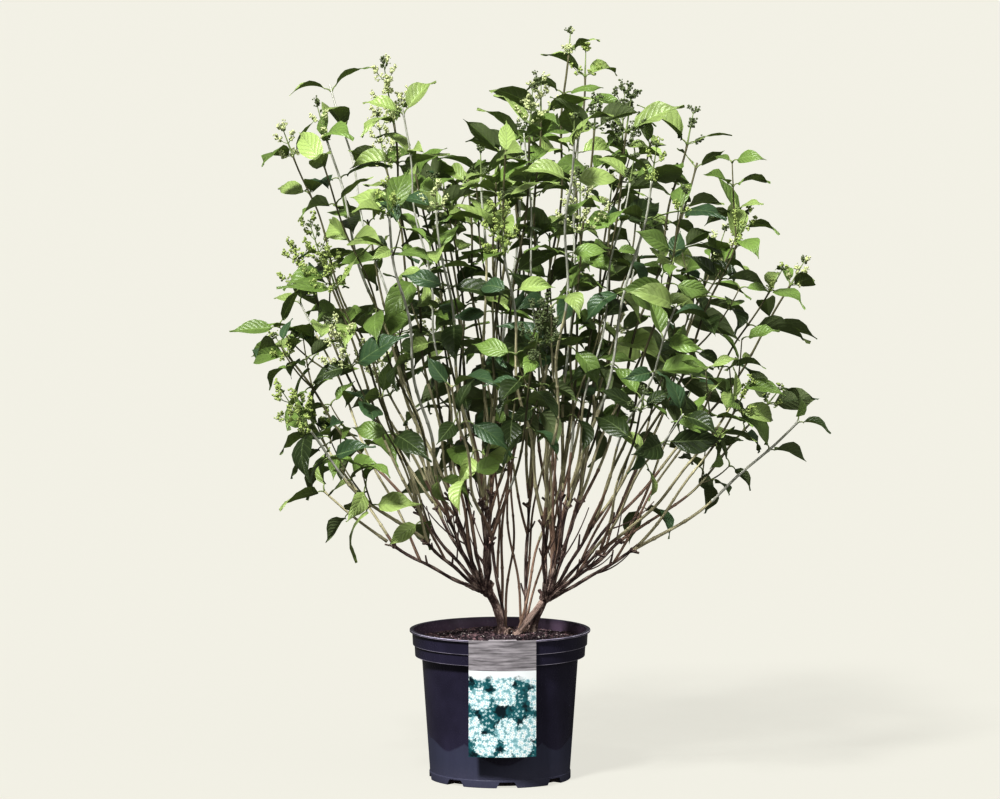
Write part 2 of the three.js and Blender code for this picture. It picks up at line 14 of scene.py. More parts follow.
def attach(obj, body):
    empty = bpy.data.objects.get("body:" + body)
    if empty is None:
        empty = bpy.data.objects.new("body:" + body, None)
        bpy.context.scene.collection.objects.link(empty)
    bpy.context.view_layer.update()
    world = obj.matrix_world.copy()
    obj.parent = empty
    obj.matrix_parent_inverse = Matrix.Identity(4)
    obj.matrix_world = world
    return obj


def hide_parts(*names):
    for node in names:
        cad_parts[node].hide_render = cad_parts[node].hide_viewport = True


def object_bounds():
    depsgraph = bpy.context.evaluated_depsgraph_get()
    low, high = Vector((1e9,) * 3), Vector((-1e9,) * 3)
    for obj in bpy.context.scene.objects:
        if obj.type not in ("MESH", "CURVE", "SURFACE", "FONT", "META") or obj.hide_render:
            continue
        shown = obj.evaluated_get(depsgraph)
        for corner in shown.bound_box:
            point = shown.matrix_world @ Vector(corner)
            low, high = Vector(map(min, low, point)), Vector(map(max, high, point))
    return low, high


bl_info = {
    "name": "Potted Panicle Hydrangea",
    "version": (1, 0, 0),
    "blender": (4, 5, 0),
    "location": "3D Viewport > Sidebar > Hydrangea",
    "description": "Pot, soil, label, bark, canes, leaves and panicles of a potted hydrangea",
    "category": "Object",
}

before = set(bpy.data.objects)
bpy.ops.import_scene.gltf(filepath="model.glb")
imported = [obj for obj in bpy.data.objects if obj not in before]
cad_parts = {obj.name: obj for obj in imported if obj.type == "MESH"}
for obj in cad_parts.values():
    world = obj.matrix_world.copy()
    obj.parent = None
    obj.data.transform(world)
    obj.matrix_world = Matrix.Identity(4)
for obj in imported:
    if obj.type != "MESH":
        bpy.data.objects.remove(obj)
CAD_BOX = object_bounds()
MM = 0.001

# Pot, soil and label, in millimetres
POT_HEIGHT = 232
LIP_RADIUS = 140
LIP_THICKNESS = 3
UPPER_BAND_RADII = (136, 135)
UPPER_BAND_BOTTOM = 208.5
LOWER_BAND_RADII = (132.4, 131.4)
LOWER_BAND_BOTTOM = 191
BODY_RADII = (121, 108.6)
COLLAR_HEIGHT = 11
COLLAR_STEP = 1
POT_WALL = 2
POT_FLOOR = 3
NOTCH_COUNT = 8
NOTCH_TURN_DEG = 5.7
NOTCH_FOOT_WIDTH = 34
NOTCH_TOP_WIDTH = 23
NOTCH_HEIGHT = 9
NOTCH_REACH = 26
SOIL_EDGE_Z = 214
SOIL_TOP_Z = 226
PLATEAU_RADIUS = 62
LABEL_WIDTH = 106
LABEL_DROP = 179
LABEL_THICKNESS = 0.8
LABEL_LIP_GAP = 1.1
LABEL_TURN_DEG = 1.6
TAB_WIDTH = 44
TAB_INNER_RADIUS = 131.1
TAB_BOTTOM_Z = 217
# The pale band round the pot's foot, whose upper edge rises and falls in lobes, is a painted reflection of
# the floor.
REFLECTION_TOP = 67
REFLECTION_LOBE_HEIGHT = 32
REFLECTION_SIDE_LOBES = 21
REFLECTION_TURNS = (2.65, 0.51)
REFLECTION_TURN_DEG = 3
# Rings along the pot's rounded edges that get a painted highlight.
HIGHLIGHT_RINGS = (
    (LIP_RADIUS, POT_HEIGHT),
    (LIP_RADIUS, POT_HEIGHT - LIP_THICKNESS),
    (UPPER_BAND_RADII[1], UPPER_BAND_BOTTOM),
    (LOWER_BAND_RADII[1], LOWER_BAND_BOTTOM),
)

# Stems and boughs, in millimetres from the plateau at the pot's axis
LEFT_STEM = SimpleNamespace(
    foot=(3, -4, 0), bend=(4, -3, 36), head=(-19, 2, 64), foot_radius=10.5, radius=6.4, knob=(10, 9, 8.5)
)
RIGHT_STEM = SimpleNamespace(
    foot=(43, 9, 0), bend=(55, 8, 22), head=(69, 2, 53), foot_radius=10, radius=6.2, knob=(10, 9, 8)
)
CROSS_STEM = SimpleNamespace(foot=(15, -18, 0), bend=(44, -16, 22), foot_radius=6.3, radius=4.3)
FLARE_HEIGHT = 16
FOOT_DEPTH = 14
APEX_X = 24
CORE_FOOT_ASIDE = 13
CORE_FOOT_BACK = 27
CORE_FOOT_RADIUS = 4.6
BOUGH_RADIUS = 4.1
KNUCKLE_RADIUS = 3.4
BOUGH_SLIMNESS = 0.66
STUB_LENGTH = 30
STUB_SPREAD = 7
KNUCKLE_DISTANCE = 155
CORE_KNUCKLE_RISE = 50
BOUGH_STEPS = 3

# The crown's rule, the same as in the part
TOP_REACH = 902
TOP_LEAN = -0.022
SIDE_REACH = 402
SIDE_LEAN = 0.045
REACH_JITTER = 0.02
AZIMUTH_JITTER_DEG = 8
TILT_JITTER_DEG = 2
RINGS = (
    SimpleNamespace(name="core", count=4, canes=3, tilt=7, side_tilt=8, phase=75, bend=1, spread=45),
    SimpleNamespace(name="inner", count=6, canes=2, tilt=16, side_tilt=17, phase=12, bend=6, spread=55),
    SimpleNamespace(name="shoulder", count=8, canes=2, tilt=26, side_tilt=31, phase=8, bend=12, spread=68),
    SimpleNamespace(name="skirt", count=8, canes=2, tilt=37, side_tilt=50, phase=-10, bend=16, spread=68),
)
CANE_RADIUS = 3.6
CANE_TIP_RADIUS = 2
CANE_TURN = 0.7
CANE_STRAIGHT_SHARE = 0.42
CANE_EARLY_SPREAD = 0.62
CANE_SHORTENING = 0.16
LEAFY_TIP_SHORTENING = 0.055
FORK_LENGTH = 14
CANE_STEPS = 5
LEAFY_FROM = 312
LEAF_FOOT_ANGLE_DEG = 82
LEAF_TIP_ANGLE_DEG = 42
LEAF_TURN = 0.3
LEAF_TURN_PER_TRY = 0.14
LEAF_FOOT_SIZE = 1.04
LEAF_TIP_SIZE = 0.96
LEAF_SIZE_JITTER = 0.3
LEAF_SHRINK_PER_TRY = 0.045
LEAF_LOWEST_Z = 330
LEAF_TRIES = 9
FIRST_PAIR_AT = 0.05
LAST_PAIR_AT = 0.985
LIMB_MARGIN = 6
PANICLE_LENGTH = 78
PANICLE_SHARE = 0.72
SEED = 35
CANE_SEED_STEP = 7
LEAF_SEED_STEP = 13
SHOOT_SEED_STEP = 17
SEED_MULTIPLIER = 2654435761
STREAM_MULTIPLIER = 1664525
STREAM_INCREMENT = 1013904223
STREAM_SIZE = 4294967296

# Finer canes and side shoots, in millimetres
SIDE_CANE_SEED_STEP = 23
SIDE_GROWTH = {
    ring: SimpleNamespace(canes=canes, shoots=shoots, start=start, tilt=tilt, turn=turn, reach=reach)
    for ring, canes, shoots, start, tilt, turn, reach in (
        ("core", 4, 0, (0.1, 0.85), (2, 15), 180, (0.45, 0.92)),
        ("inner", 1, 0, (0.3, 0.9), (11, 22), 30, (0.6, 1)),
        ("shoulder", 1, 2, (0.5, 0.95), (22, 35), 16, (0.93, 1.02)),
        ("skirt", 1, 3, (0.5, 0.95), (30, 46), 16, (0.93, 1.02)),
    )
}
FRONT_GROWTH = 0.4
LEFT_GROWTH = 0.8
RIGHT_GROWTH = 1.1
RIGHT_LEAN_DEG = 5
SOIL_CANES = 2
SOIL_CANE_ASIDE = 18
SOIL_CANE_DEPTHS = (-8, 22)
SIDE_CANE_SPREAD = 0.42
SIDE_CANE_THICKNESS = 0.82
SIDE_CANE_BLOOMS = 0.2
# Canes in front and near the middle are pale above, as if lit. The others get painted shade: a dark upper
# tone, with their brown running further up.
PALE_CANE_DEPTHS = (-120, 60)
PALE_CANE_SHARES = (0.8, 0.2)
PALE_CANE_SIDES = (60, 180)
PALE_CANE_THICKNESS = 1.15
SHADED_BROWN_LONGER_BY = 50
SHOOT_ANGLE_DEG = 34
SHOOT_ANGLE_JITTER_DEG = 12
SHOOT_LENGTHS = (50, 125)
SHOOT_RISE = 0.35
SHOOT_RADIUS = 1.5
SHOOT_TIP_RADIUS = 0.9
SHOOT_REACH = 0.97

# Where leaves stand, in millimetres
SPACE_OVERLAP = 14
LEAF_CLEARANCE = 7
LEAF_OVERHANG = 6
TIP_PAIRS = 2
INNER_LEAF_SHARE = 0.34
OUTER_LEAVES_FROM = (0.55, 0.92)
LEAFY_SHARE = 0.46
CLEARING_SIZE = 85
CLEARING_DEPTH = 1.0
RIM = 0.7
BARE_BELOW = 560
BARE_LOWERING = 0.46
BARE_HALF_WIDTH = 70
BARE_JITTER = 25
LOW_LEAF_SHARE = 0.16
LOW_LEAVES_BELOW = 520
SHOOT_PAIR_SPACING = 36
SHOOT_LEAVES_FROM = 0.25
SHOOT_LEAF_SIZE = 0.78
SHOOT_LEAF_YOUTH = 0.7
# Leafy places above 0 and clearings below 0, seen from the front: x, z, radius, and how leafy or bare
CLUMPS = (
    (-310, 620, 45, 0.6), (-310, 495, 45, 0.7), (-125, 700, 60, 0.6), (-185, 930, 50, 0.3),
    (-60, 495, 35, 0.9), (140, 805, 70, 0.6), (310, 870, 45, 0.4), (430, 760, 60, 1.0),
    (216, 620, 60, 0.6), (0, 620, 60, 0.4), (-250, 985, 45, 0.4), (-380, 870, 80, 0.35),
    (140, 1100, 60, 0.9), (255, 395, 45, 0.6), (-105, 400, 35, 0.35), (-70, 1090, 65, -1.2),
    (-105, 1010, 45, -0.8), (50, 1130, 40, -0.6), (0, 1000, 70, -0.5), (0, 850, 70, -0.5),
    (185, 985, 60, -0.5), (335, 990, 50, -0.4), (245, 1065, 45, -0.9), (-300, 930, 45, -0.6),
    (430, 970, 60, -0.9), (505, 905, 45, -0.9), (-370, 745, 45, -0.9), (-315, 835, 45, -0.5),
    (355, 800, 40, -0.6), (355, 720, 40, -0.6), (-195, 630, 50, -0.7), (-260, 560, 50, -0.4),
    (0, 505, 40, -0.8), (-135, 505, 50, -0.7), (230, 500, 80, -0.6), (425, 505, 60, -1.0),
    (375, 435, 65, -1.3), (-300, 430, 70, -1.2),
)
CLUMP_LENGTHENING = 0.07
CLUMP_LOWERING = 0.9
CLEARING_SHORTENING = 0.15
LOW_TIPS_BELOW = 520
LOW_TIP_SHORTENING = 0.22
LOW_TIP_SPREAD = 0.45
LOW_TIP_LIFT = 40

# Leaf blades, in shares of the leaf's length or width, and in radians
PETIOLE_LENGTH = 12
LEAF_ROWS = 11
LEAF_COLUMNS = (-1, -0.5, -0.02, 0.02, 0.5, 1)
FINE_LEAF_ROLL = 0.95
FINE_LEAF_DROOP = 0.9
BLADE_FOLDS = (0.12, 0.78)
BLADE_CURLS = (0.02, 0.14)
BLADE_WAVES = (0.01, 0.09)
BLADE_WAVE_COUNTS = (1.0, 2.2)
BLADE_TWISTS = (-0.95, 0.95)
BLADE_SWINGS = (-0.09, 0.09)
BLADE_DROOPS = (0.2, 1.45)
BLADE_STRETCHES = (0.9, 1.0)
VEIN_PAIRS = 8
VEIN_SLANT = 0.16
RIB_SLOT = 1
RIB_PALENESS = 0.35

# Panicles in bud, in millimetres
PANICLE_SEED_STEP = 19
PANICLE_SIDES = (-300, 300)
FULL_PANICLE_SHARES = (0.4, 0.1)
SMALL_PANICLES = (0.36, 0.66)
PANICLE_WIDTHS = (0.75, 1.2)
PANICLE_TONE_SHARES = (0.45, 0.8)
BRANCH_PLACES = (0.04, 0.93)
BRANCH_LENGTHS = (1.1, 0.36)
BRANCH_REACHES = (0.8, 1.1)
BRANCH_ANGLES_DEG = (72, 40)
BUD_STALK_LENGTHS = (5, 9)
BUD_SIZES = (0.6, 1.3)
BUDS_PER_RADIUS = (1.5, 2.7)
CLUMP_RADIUS = 5.6
CLUMP_SPACING = 12
CLOSED_BUDS_FROM = (0.6, 1.8)
CLOSED_TONE = 2

CROWN_BOX = np.array(CAD_BOX, float) / MM + np.array((-LEAF_OVERHANG, LEAF_OVERHANG))[:, None]

X_AXIS = np.array((1.0, 0.0, 0.0))
Z_AXIS = np.array((0.0, 0.0, 1.0))
APEX = np.array((APEX_X, 0.0, SOIL_TOP_Z), float)


# Seeded random numbers


class Stream:
    """Numbers from 0 to 1 that are the same for the same seed."""

    def __init__(self, seed):
        self.state = ((seed + 1) * SEED_MULTIPLIER) % STREAM_SIZE
        self()
        self()

    def __call__(self):
        self.state = (self.state * STREAM_MULTIPLIER + STREAM_INCREMENT) % STREAM_SIZE
        return self.state / STREAM_SIZE

    def spread(self, size):
        return (2 * self() - 1) * size

    def between(self, low, high):
        return low + (high - low) * self()


# Lines and directions


def unit(vector):
    return vector / np.linalg.norm(vector)


def lerp(low, high, share):
    return low + (high - low) * share


def direction(tilt, azimuth):
    flat = math.sin(tilt)
    return np.array((flat * math.cos(azimuth), flat * math.sin(azimuth), math.cos(tilt)))


def side_directions(along):
    u = unit(X_AXIS - along * along[0])
    return u, np.cross(along, u)


def turned_about(vector, axis, angle):
    """The vector, square to the axis, turned about it."""
    return swung(vector, np.cross(axis, vector), angle)


def swung(vector, aside, angle):
    """The vector turned by an angle towards another that is square to it."""
    return vector * math.cos(angle) + aside * math.sin(angle)


def from_soil(point):
    return np.array(point, float) + SOIL_TOP_Z * Z_AXIS


class Bend:
    """A line bent once, from its start past a control point to its end."""

    def __init__(self, start, control, end):
        self.start, self.control, self.end = (np.asarray(p, float) for p in (start, control, end))

    def point(self, t):
        t = np.asarray(t, float)[..., None]
        return (1 - t) ** 2 * self.start + 2 * t * (1 - t) * self.control + t**2 * self.end

    def along(self, t):
        return unit((1 - t) * (self.control - self.start) + t * (self.end - self.control))


def rising_bend(start, end, bend_degrees):
    """A line that sets out leaning further from upright than it ends."""
    chord = end - start
    length = np.linalg.norm(chord)
    tilt = math.acos(chord[2] / length) + math.radians(bend_degrees)
    onward = direction(tilt, math.atan2(chord[1], chord[0]))
    return Bend(start, start + onward * length / 2, end)


def stretches(bend, start, end, steps):
    points = bend.point(np.linspace(start, end, steps + 1))
    return np.stack((points[:-1], points[1:]), axis=1)


def distances(points, lines):
    """How far each point is from each line of a set."""
    a, b = lines[:, 0], lines[:, 1]
    ab = b - a
    ap = points[:, None] - a
    share = np.clip((ap * ab).sum(-1) / (ab * ab).sum(-1), 0, 1)
    return np.linalg.norm(ap - share[..., None] * ab, axis=-1)


# The shrub's plan, by the part's rule


def reach_at(tilt, azimuth):
    top = TOP_REACH * (1 + TOP_LEAN * math.cos(azimuth))
    side = SIDE_REACH * (1 + SIDE_LEAN * math.cos(azimuth))
    return min(top, side / math.sin(tilt))


def mass_plans():
    plans = []
    for ring in RINGS:
        for k in range(ring.count):
            random = Stream(SEED + len(plans))
            azimuth = math.radians(ring.phase + 360 * k / ring.count + random.spread(AZIMUTH_JITTER_DEG))
            lean = lerp(ring.tilt, ring.side_tilt, math.cos(azimuth) ** 2)
            tilt = math.radians(lean + random.spread(TILT_JITTER_DEG))
            reach = reach_at(tilt, azimuth) * (1 + random.spread(REACH_JITTER))
            tip = direction(tilt, azimuth) * reach + APEX
            outwards = direction(math.pi / 2, azimuth)
            own_stem = ring.name == "core" and outwards[1] > 0
            stem = LEFT_STEM if tip[0] < APEX_X else RIGHT_STEM
            if own_stem:
                foot_x = math.copysign(CORE_FOOT_ASIDE, outwards[0])
                start = APEX + np.array((foot_x, CORE_FOOT_BACK, -FOOT_DEPTH))
            else:
                start = from_soil(stem.head) + outwards * STUB_SPREAD
            distance = KNUCKLE_DISTANCE + (CORE_KNUCKLE_RISE if own_stem else 0)
            plans.append(
                SimpleNamespace(
                    name=f"{ring.name}_{k + 1}",
                    ring=ring.name,
                    index=len(plans),
                    own_stem=own_stem,
                    stem=stem,
                    bend=rising_bend(start, tip, ring.bend),
                    knuckle_at=distance / np.linalg.norm(tip - start),
                    cane_count=ring.canes,
                    cane_spread=ring.spread,
                )
            )
    return plans


def canes_of(plan):
    random = Stream(SEED * CANE_SEED_STEP + plan.index)
    onward = plan.bend.along(plan.knuckle_at)
    foot = plan.bend.point(plan.knuckle_at)
    u, v = side_directions(plan.bend.along(1))
    first_turn = random.spread(CANE_TURN)
    canes = []
    for j in range(plan.cane_count):
        turn = first_turn + 2 * math.pi * j / plan.cane_count
        aside = swung(u, v, turn) * plan.cane_spread
        blooms = random() < PANICLE_SHARE
        shortening = 0 if j == 0 else CANE_SHORTENING * random()
        shortening += 0 if blooms else LEAFY_TIP_SHORTENING
        tip = plan.bend.point(1 - shortening) + aside
        shortening += shortened_at(tip)
        if tip[2] < LOW_TIPS_BELOW:
            shortening += LOW_TIP_SHORTENING
            aside = aside * LOW_TIP_SPREAD + Z_AXIS * LOW_TIP_LIFT
        start = foot + onward * j * FORK_LENGTH
        end = plan.bend.point(1 - shortening) + aside
        run = np.linalg.norm(end - start)
        control = start + onward * run * CANE_STRAIGHT_SHARE + aside * CANE_EARLY_SPREAD
        first_pair = math.pi * random()
        canes.append(
            SimpleNamespace(
                bend=Bend(start, control, end),
                length=run,
                blooms=blooms,
                first_pair=first_pair,
                mass=plan.index,
                ring=plan.ring,
                thickness=1,
            )
        )
    return canes


def side_canes_of(plan):
    """Finer canes that fork off a bough on its way up, and end between the ends of the others."""
    random = Stream(SEED * SIDE_CANE_SEED_STEP + plan.index)
    growth = SIDE_GROWTH[plan.ring]
    away = plan.bend.end - APEX
    canes = []
    for number in range(growth.canes if plan.ring == "core" else round(growth.canes * sidewards(away))):
        start_at = plan.knuckle_at * random.between(*growth.start)
        start, onward = plan.bend.point(start_at), plan.bend.along(start_at)
        if plan.own_stem and number < SOIL_CANES:
            x, y = random.spread(SOIL_CANE_ASIDE), random.between(*SOIL_CANE_DEPTHS)
            start = APEX + np.array((x, y, -FOOT_DEPTH))
            onward = Z_AXIS
        azimuth = math.atan2(away[1], away[0]) + math.radians(random.spread(growth.turn))
        tilt = math.radians(random.between(*growth.tilt) + RIGHT_LEAN_DEG * math.cos(azimuth))
        reach = direction(tilt, azimuth) * reach_at(tilt, azimuth) * random.between(*growth.reach)
        end = APEX + reach * (1 - shortened_at(APEX + reach))
        run = np.linalg.norm(end - start)
        aside = (end - start) - onward * run
        control = start + onward * run * CANE_STRAIGHT_SHARE + aside * SIDE_CANE_SPREAD
        canes.append(
            SimpleNamespace(
                bend=Bend(start, control, end),
                length=run,
                blooms=random() < SIDE_CANE_BLOOMS,
                first_pair=math.pi * random(),
                mass=None,
                ring=plan.ring,
                thickness=SIDE_CANE_THICKNESS,
            )
        )
    return canes


def sidewards(away):
    """How much finer growth stands in a direction: more to the sides than to the front and back."""
    most = RIGHT_GROWTH if away[0] > 0 else LEFT_GROWTH
    return lerp(FRONT_GROWTH, most, away[0] ** 2 / (away[0] ** 2 + away[1] ** 2))


def share_of_reach(point):
    away = point - APEX
    distance = np.linalg.norm(away)
    return distance / reach_at(math.acos(away[2] / distance), math.atan2(away[1], away[0]))


def clumped(point):
    """How much leafier than usual a place is, below 0 in a clearing."""
    here = (point[0], point[2])
    return sum(leafy * math.exp(-((math.dist(here, (x, z)) / size) ** 2)) for x, z, size, leafy in CLUMPS)


def shortened_at(tip):
    """The share of its reach by which a cane with this tip ends sooner, below 0 in a leafy place."""
    leafy = clumped(tip)
    return -leafy * (CLEARING_SHORTENING if leafy < 0 else CLUMP_LENGTHENING)


def bears_leaves(point, random):
    """Leaves stand in clumps, mostly on the crown's outside, above a line that is highest over the pot."""
    lowest = BARE_BELOW - BARE_LOWERING * max(0, abs(point[0] - APEX_X) - BARE_HALF_WIDTH)
    leafier = clumped(point)
    if np.linalg.norm(point - APEX) < LEAFY_FROM * (1 - CLUMP_LOWERING * max(0, leafier)):
        return False
    reached = share_of_reach(point)
    if point[2] < lowest + random.spread(BARE_JITTER):
        return random() < (1 if reached > RIM else LOW_LEAF_SHARE) + leafier
    outer = np.interp(reached, OUTER_LEAVES_FROM, (0, 1))
    clump = LEAFY_SHARE + CLEARING_DEPTH * noise.noise(Vector(point / CLEARING_SIZE))
    return random() < lerp(INNER_LEAF_SHARE, 1, outer) * clump + leafier


class Space:
    """Which mass each place in the crown belongs to."""

    def __init__(self, plans, canes):
        self.lines = np.concatenate([stretches(cane.bend, 0, 1, CANE_STEPS) for cane in canes])
        self.owner = np.repeat([cane.mass for cane in canes], CANE_STEPS)
        self.boughs = np.concatenate([stretches(p.bend, 0, p.knuckle_at, BOUGH_STEPS) for p in plans])
        self.taken = {}

    def cells_round(self, point):
        cell = np.floor(point / LEAF_CLEARANCE).astype(int)
        steps = (-1, 0, 1)
        return [(cell[0] + i, cell[1] + j, cell[2] + k) for i in steps for j in steps for k in steps]

    def is_crowded(self, probes):
        for probe in probes:
            for cell in self.cells_round(probe):
                if any(np.abs(other - probe).sum() < LEAF_CLEARANCE for other in self.taken.get(cell, ())):
                    return True
        return False

    def take(self, probes):
        for probe in probes:
            cell = tuple(np.floor(probe / LEAF_CLEARANCE).astype(int))
            self.taken.setdefault(cell, []).append(probe)

    def fits(self, leaf, mass):
        probes = leaf_probes(leaf)
        outside = (probes < CROWN_BOX[0]) | (probes > CROWN_BOX[1])
        if probes[:, 2].min() < LEAF_LOWEST_Z or outside.any():
            return False
        if mass is not None:
            far = distances(probes, self.lines)
            own = far[:, self.owner == mass].min(1)
            others = far[:, self.owner != mass].min(1)
            if (own > others + SPACE_OVERLAP).any():
                return False
        if distances(probes, self.boughs).min() < LIMB_MARGIN or self.is_crowded(probes):
            return False
        self.take(probes)
        return True


def leaf_probes(leaf):
    left = np.cross(leaf.up, leaf.along)
    spots = ((0.35, 0), (0.6, 0), (0.9, 0), (0.5, 0.42), (0.5, -0.42), (0.75, 0.25), (0.75, -0.25))
    return np.array([leaf.root + leaf.along * leaf.length * s + left * leaf.width * w for s, w in spots])


def grow_leaf(line, place, random, space, mass, size_share, youth, turn, leaf_length, leaf_width):
    """One leaf at a node, turned until it fits. None if it never fits."""
    node, along = place
    u, v = side_directions(along)
    opening = math.radians(lerp(LEAF_FOOT_ANGLE_DEG, LEAF_TIP_ANGLE_DEG, youth))
    for attempt in range(LEAF_TRIES):
        angle = turn + random.spread(LEAF_TURN + LEAF_TURN_PER_TRY * attempt)
        axis = swung(along, swung(u, v, angle), opening)
        axis = unit(axis - Z_AXIS * FINE_LEAF_DROOP * random() * (1.1 - youth))
        up = unit(along - axis * along.dot(axis))
        up = turned_about(up, axis, random.spread(FINE_LEAF_ROLL))
        grown = lerp(LEAF_FOOT_SIZE, LEAF_TIP_SIZE, youth) * (1 - LEAF_SHRINK_PER_TRY * attempt)
        size = (grown + random.spread(LEAF_SIZE_JITTER)) * size_share
        leaf = SimpleNamespace(
            root=node,
            cane_along=along,
            along=axis,
            up=up,
            length=leaf_length * size,
            width=leaf_width * size,
            mass=mass,
            line=line,
        )
        if space.fits(leaf, mass):
            return leaf
    return None


def wandering(bend, random, length, sway):
    """A cane's true line: its bend with a slow sway that grows from nothing at its foot."""
    u, v = side_directions(bend.along(0.5))
    waves = [(random.between(1.2, 2.6), random.between(0, 2 * math.pi)) for _ in range(2)]

    def point(t):
        t = np.asarray(t, float)
        fade = (sway * np.clip(t * length / 160, 0, 1) * np.clip((1 - t) * length / 120, 0.25, 1))[..., None]
        phases = (rate * math.pi * t * length / 260 + start for rate, start in waves)
        first, second = (np.sin(phase)[..., None] for phase in phases)
        return bend.point(t) + fade * (u * first + v * second)

    return point


@functools.cache
def grown(pair_spacing, leaf_length, leaf_width, shoot_share, sway):
    """The whole shrub: plans, canes, shoots and leaves."""
    leaf_size = (leaf_length, leaf_width)
    plans = mass_plans()
    canes = [cane for plan in plans for cane in canes_of(plan)]
    space = Space(plans, canes)
    canes += [cane for plan in plans for cane in side_canes_of(plan)]
    leaves, shoots = [], []
    for number, cane in enumerate(canes):
        random = Stream(SEED * LEAF_SEED_STEP + number)
        cane.line = wandering(cane.bend, random, cane.length, sway)
        full_share = np.interp(cane.bend.end[0], PANICLE_SIDES, FULL_PANICLE_SHARES)
        cane.fullness = 1 if random() < full_share else random.between(*SMALL_PANICLES)
        last = 1 - PANICLE_LENGTH * cane.fullness / cane.length if cane.blooms else LAST_PAIR_AT
        cane.last_pair = last
        cane.nodes = []
        for k in range(int(last * cane.length / pair_spacing) + 1):
            t = last - k * pair_spacing / cane.length
            if t < FIRST_PAIR_AT:
                continue
            cane.nodes.append(t)
            node = cane.line(t)
            if k >= TIP_PAIRS and not bears_leaves(node, random):
                continue
            along = cane.bend.along(t)
            for opposite in (0, math.pi):
                turn = cane.first_pair + k * math.pi / 2 + opposite
                leaf = grow_leaf(number, (node, along), random, space, cane.mass, 1, t * t, turn, *leaf_size)
                if leaf:
                    leaves.append(leaf)
    for number, cane in enumerate(canes):
        random = Stream(SEED * SHOOT_SEED_STEP + number)
        leafy = [t for t in cane.nodes if bears_leaves(cane.line(t), random)]
        count = round(SIDE_GROWTH[cane.ring].shoots * shoot_share * sidewards(cane.bend.end - APEX))
        for _ in range(count if leafy else 0):
            t = leafy[int(random() * len(leafy)) % len(leafy)]
            shoot = grow_shoot(cane, t, random)
            if share_of_reach(shoot.bend.end) > SHOOT_REACH:
                continue
            shoots.append(shoot)
            pairs = int(shoot.length / SHOOT_PAIR_SPACING)
            for k in range(pairs + 1):
                at = 1 - k * SHOOT_PAIR_SPACING / shoot.length
                if at < SHOOT_LEAVES_FROM:
                    continue
                place = (shoot.bend.point(at), shoot.bend.along(at))
                for opposite in (0, math.pi):
                    turn = shoot.turn + k * math.pi / 2 + opposite
                    youth = at * SHOOT_LEAF_YOUTH
                    leaf = grow_leaf(
                        number, place, random, space, cane.mass, SHOOT_LEAF_SIZE, youth, turn, *leaf_size
                    )
                    if leaf:
                        shoot.leaves += 1
                        leaves.append(leaf)
    return SimpleNamespace(plans=plans, canes=canes, shoots=[s for s in shoots if s.leaves], leaves=leaves)


def grow_shoot(cane, t, random):
    """A short twig from a cane's node, which turns upwards as it grows."""
    along = cane.bend.along(t)
    u, v = side_directions(along)
    angle = random.between(0, 2 * math.pi)
    open_angle = math.radians(SHOOT_ANGLE_DEG + random.spread(SHOOT_ANGLE_JITTER_DEG))
    length = random.between(*SHOOT_LENGTHS)
    start = cane.line(t)
    onward = swung(along, swung(u, v, angle), open_angle)
    end = start + unit(onward + SHOOT_RISE * Z_AXIS) * length
    bend = Bend(start, start + onward * length * 0.5, end)
    return SimpleNamespace(bend=bend, length=length, turn=angle, leaves=0)


# Meshes


class Skin:
    """Points and faces, in millimetres, that become one mesh."""

    def __init__(self):
        self.points, self.loops, self.sizes, self.slots = [], [], [], []
        self.grain, self.ridge = [], []
        self.count = 0

    def add(self, points, *groups, grain=None, ridge=0.5):
        """Each group is an array of faces of one size and their material slot, one for all or one each."""
        points = np.asarray(points, float).reshape(-1, 3)
        for faces, slot in groups:
            faces = np.asarray(faces)
            self.loops.append((faces + self.count).ravel())
            self.sizes.append(np.full(len(faces), faces.shape[1]))
            self.slots.append(np.broadcast_to(slot, len(faces)))
        self.points.append(points)
        self.grain.append(points if grain is None else np.asarray(grain, float).reshape(-1, 3))
        self.ridge.append(np.broadcast_to(np.ravel(ridge), len(points)))
        self.count += len(points)

    def build(self, name, materials=()):
        mesh = bpy.data.meshes.new(name)
        points = np.concatenate(self.points) * MM
        loops = np.concatenate(self.loops)
        sizes = np.concatenate(self.sizes)
        mesh.vertices.add(len(points))
        mesh.vertices.foreach_set("co", points.ravel().astype(np.float32))
        mesh.loops.add(len(loops))
        mesh.loops.foreach_set("vertex_index", loops.astype(np.int32))
        mesh.polygons.add(len(sizes))
        mesh.polygons.foreach_set("loop_start", (np.cumsum(sizes) - sizes).astype(np.int32))
        mesh.polygons.foreach_set("material_index", np.concatenate(self.slots).astype(np.int32))
        mesh.update(calc_edges=True)
        write_attribute(mesh, "grain", np.concatenate(self.grain) * MM)
        write_attribute(mesh, "ridge", np.concatenate(self.ridge))
        mesh.shade_smooth()
        for material in materials:
            mesh.materials.append(material)
        return place(name, mesh)


def write_attribute(mesh, name, values):
    kind, key = ("FLOAT_VECTOR", "vector") if values.ndim == 2 else ("FLOAT", "value")
    attribute = mesh.attributes.new(name, kind, "POINT")
    attribute.data.foreach_set(key, values.ravel().astype(np.float32))


def place(name, mesh):
    piece = bpy.data.objects.new(name, mesh)
    bpy.context.scene.collection.objects.link(piece)
    return piece


def evaluated_mesh(piece):
    """The piece's mesh with its modifiers applied, in its place."""
    graph = bpy.context.evaluated_depsgraph_get()
    mesh = bpy.data.meshes.new_from_object(piece.evaluated_get(graph))
    old = piece.data
    piece.modifiers.clear()
    piece.data = mesh
    bpy.data.meshes.remove(old)
    mesh.name = piece.name
    return mesh


def points_of(mesh):
    points = np.empty(len(mesh.vertices) * 3, np.float32)
    mesh.vertices.foreach_get("co", points)
    return points.reshape(-1, 3).astype(float)


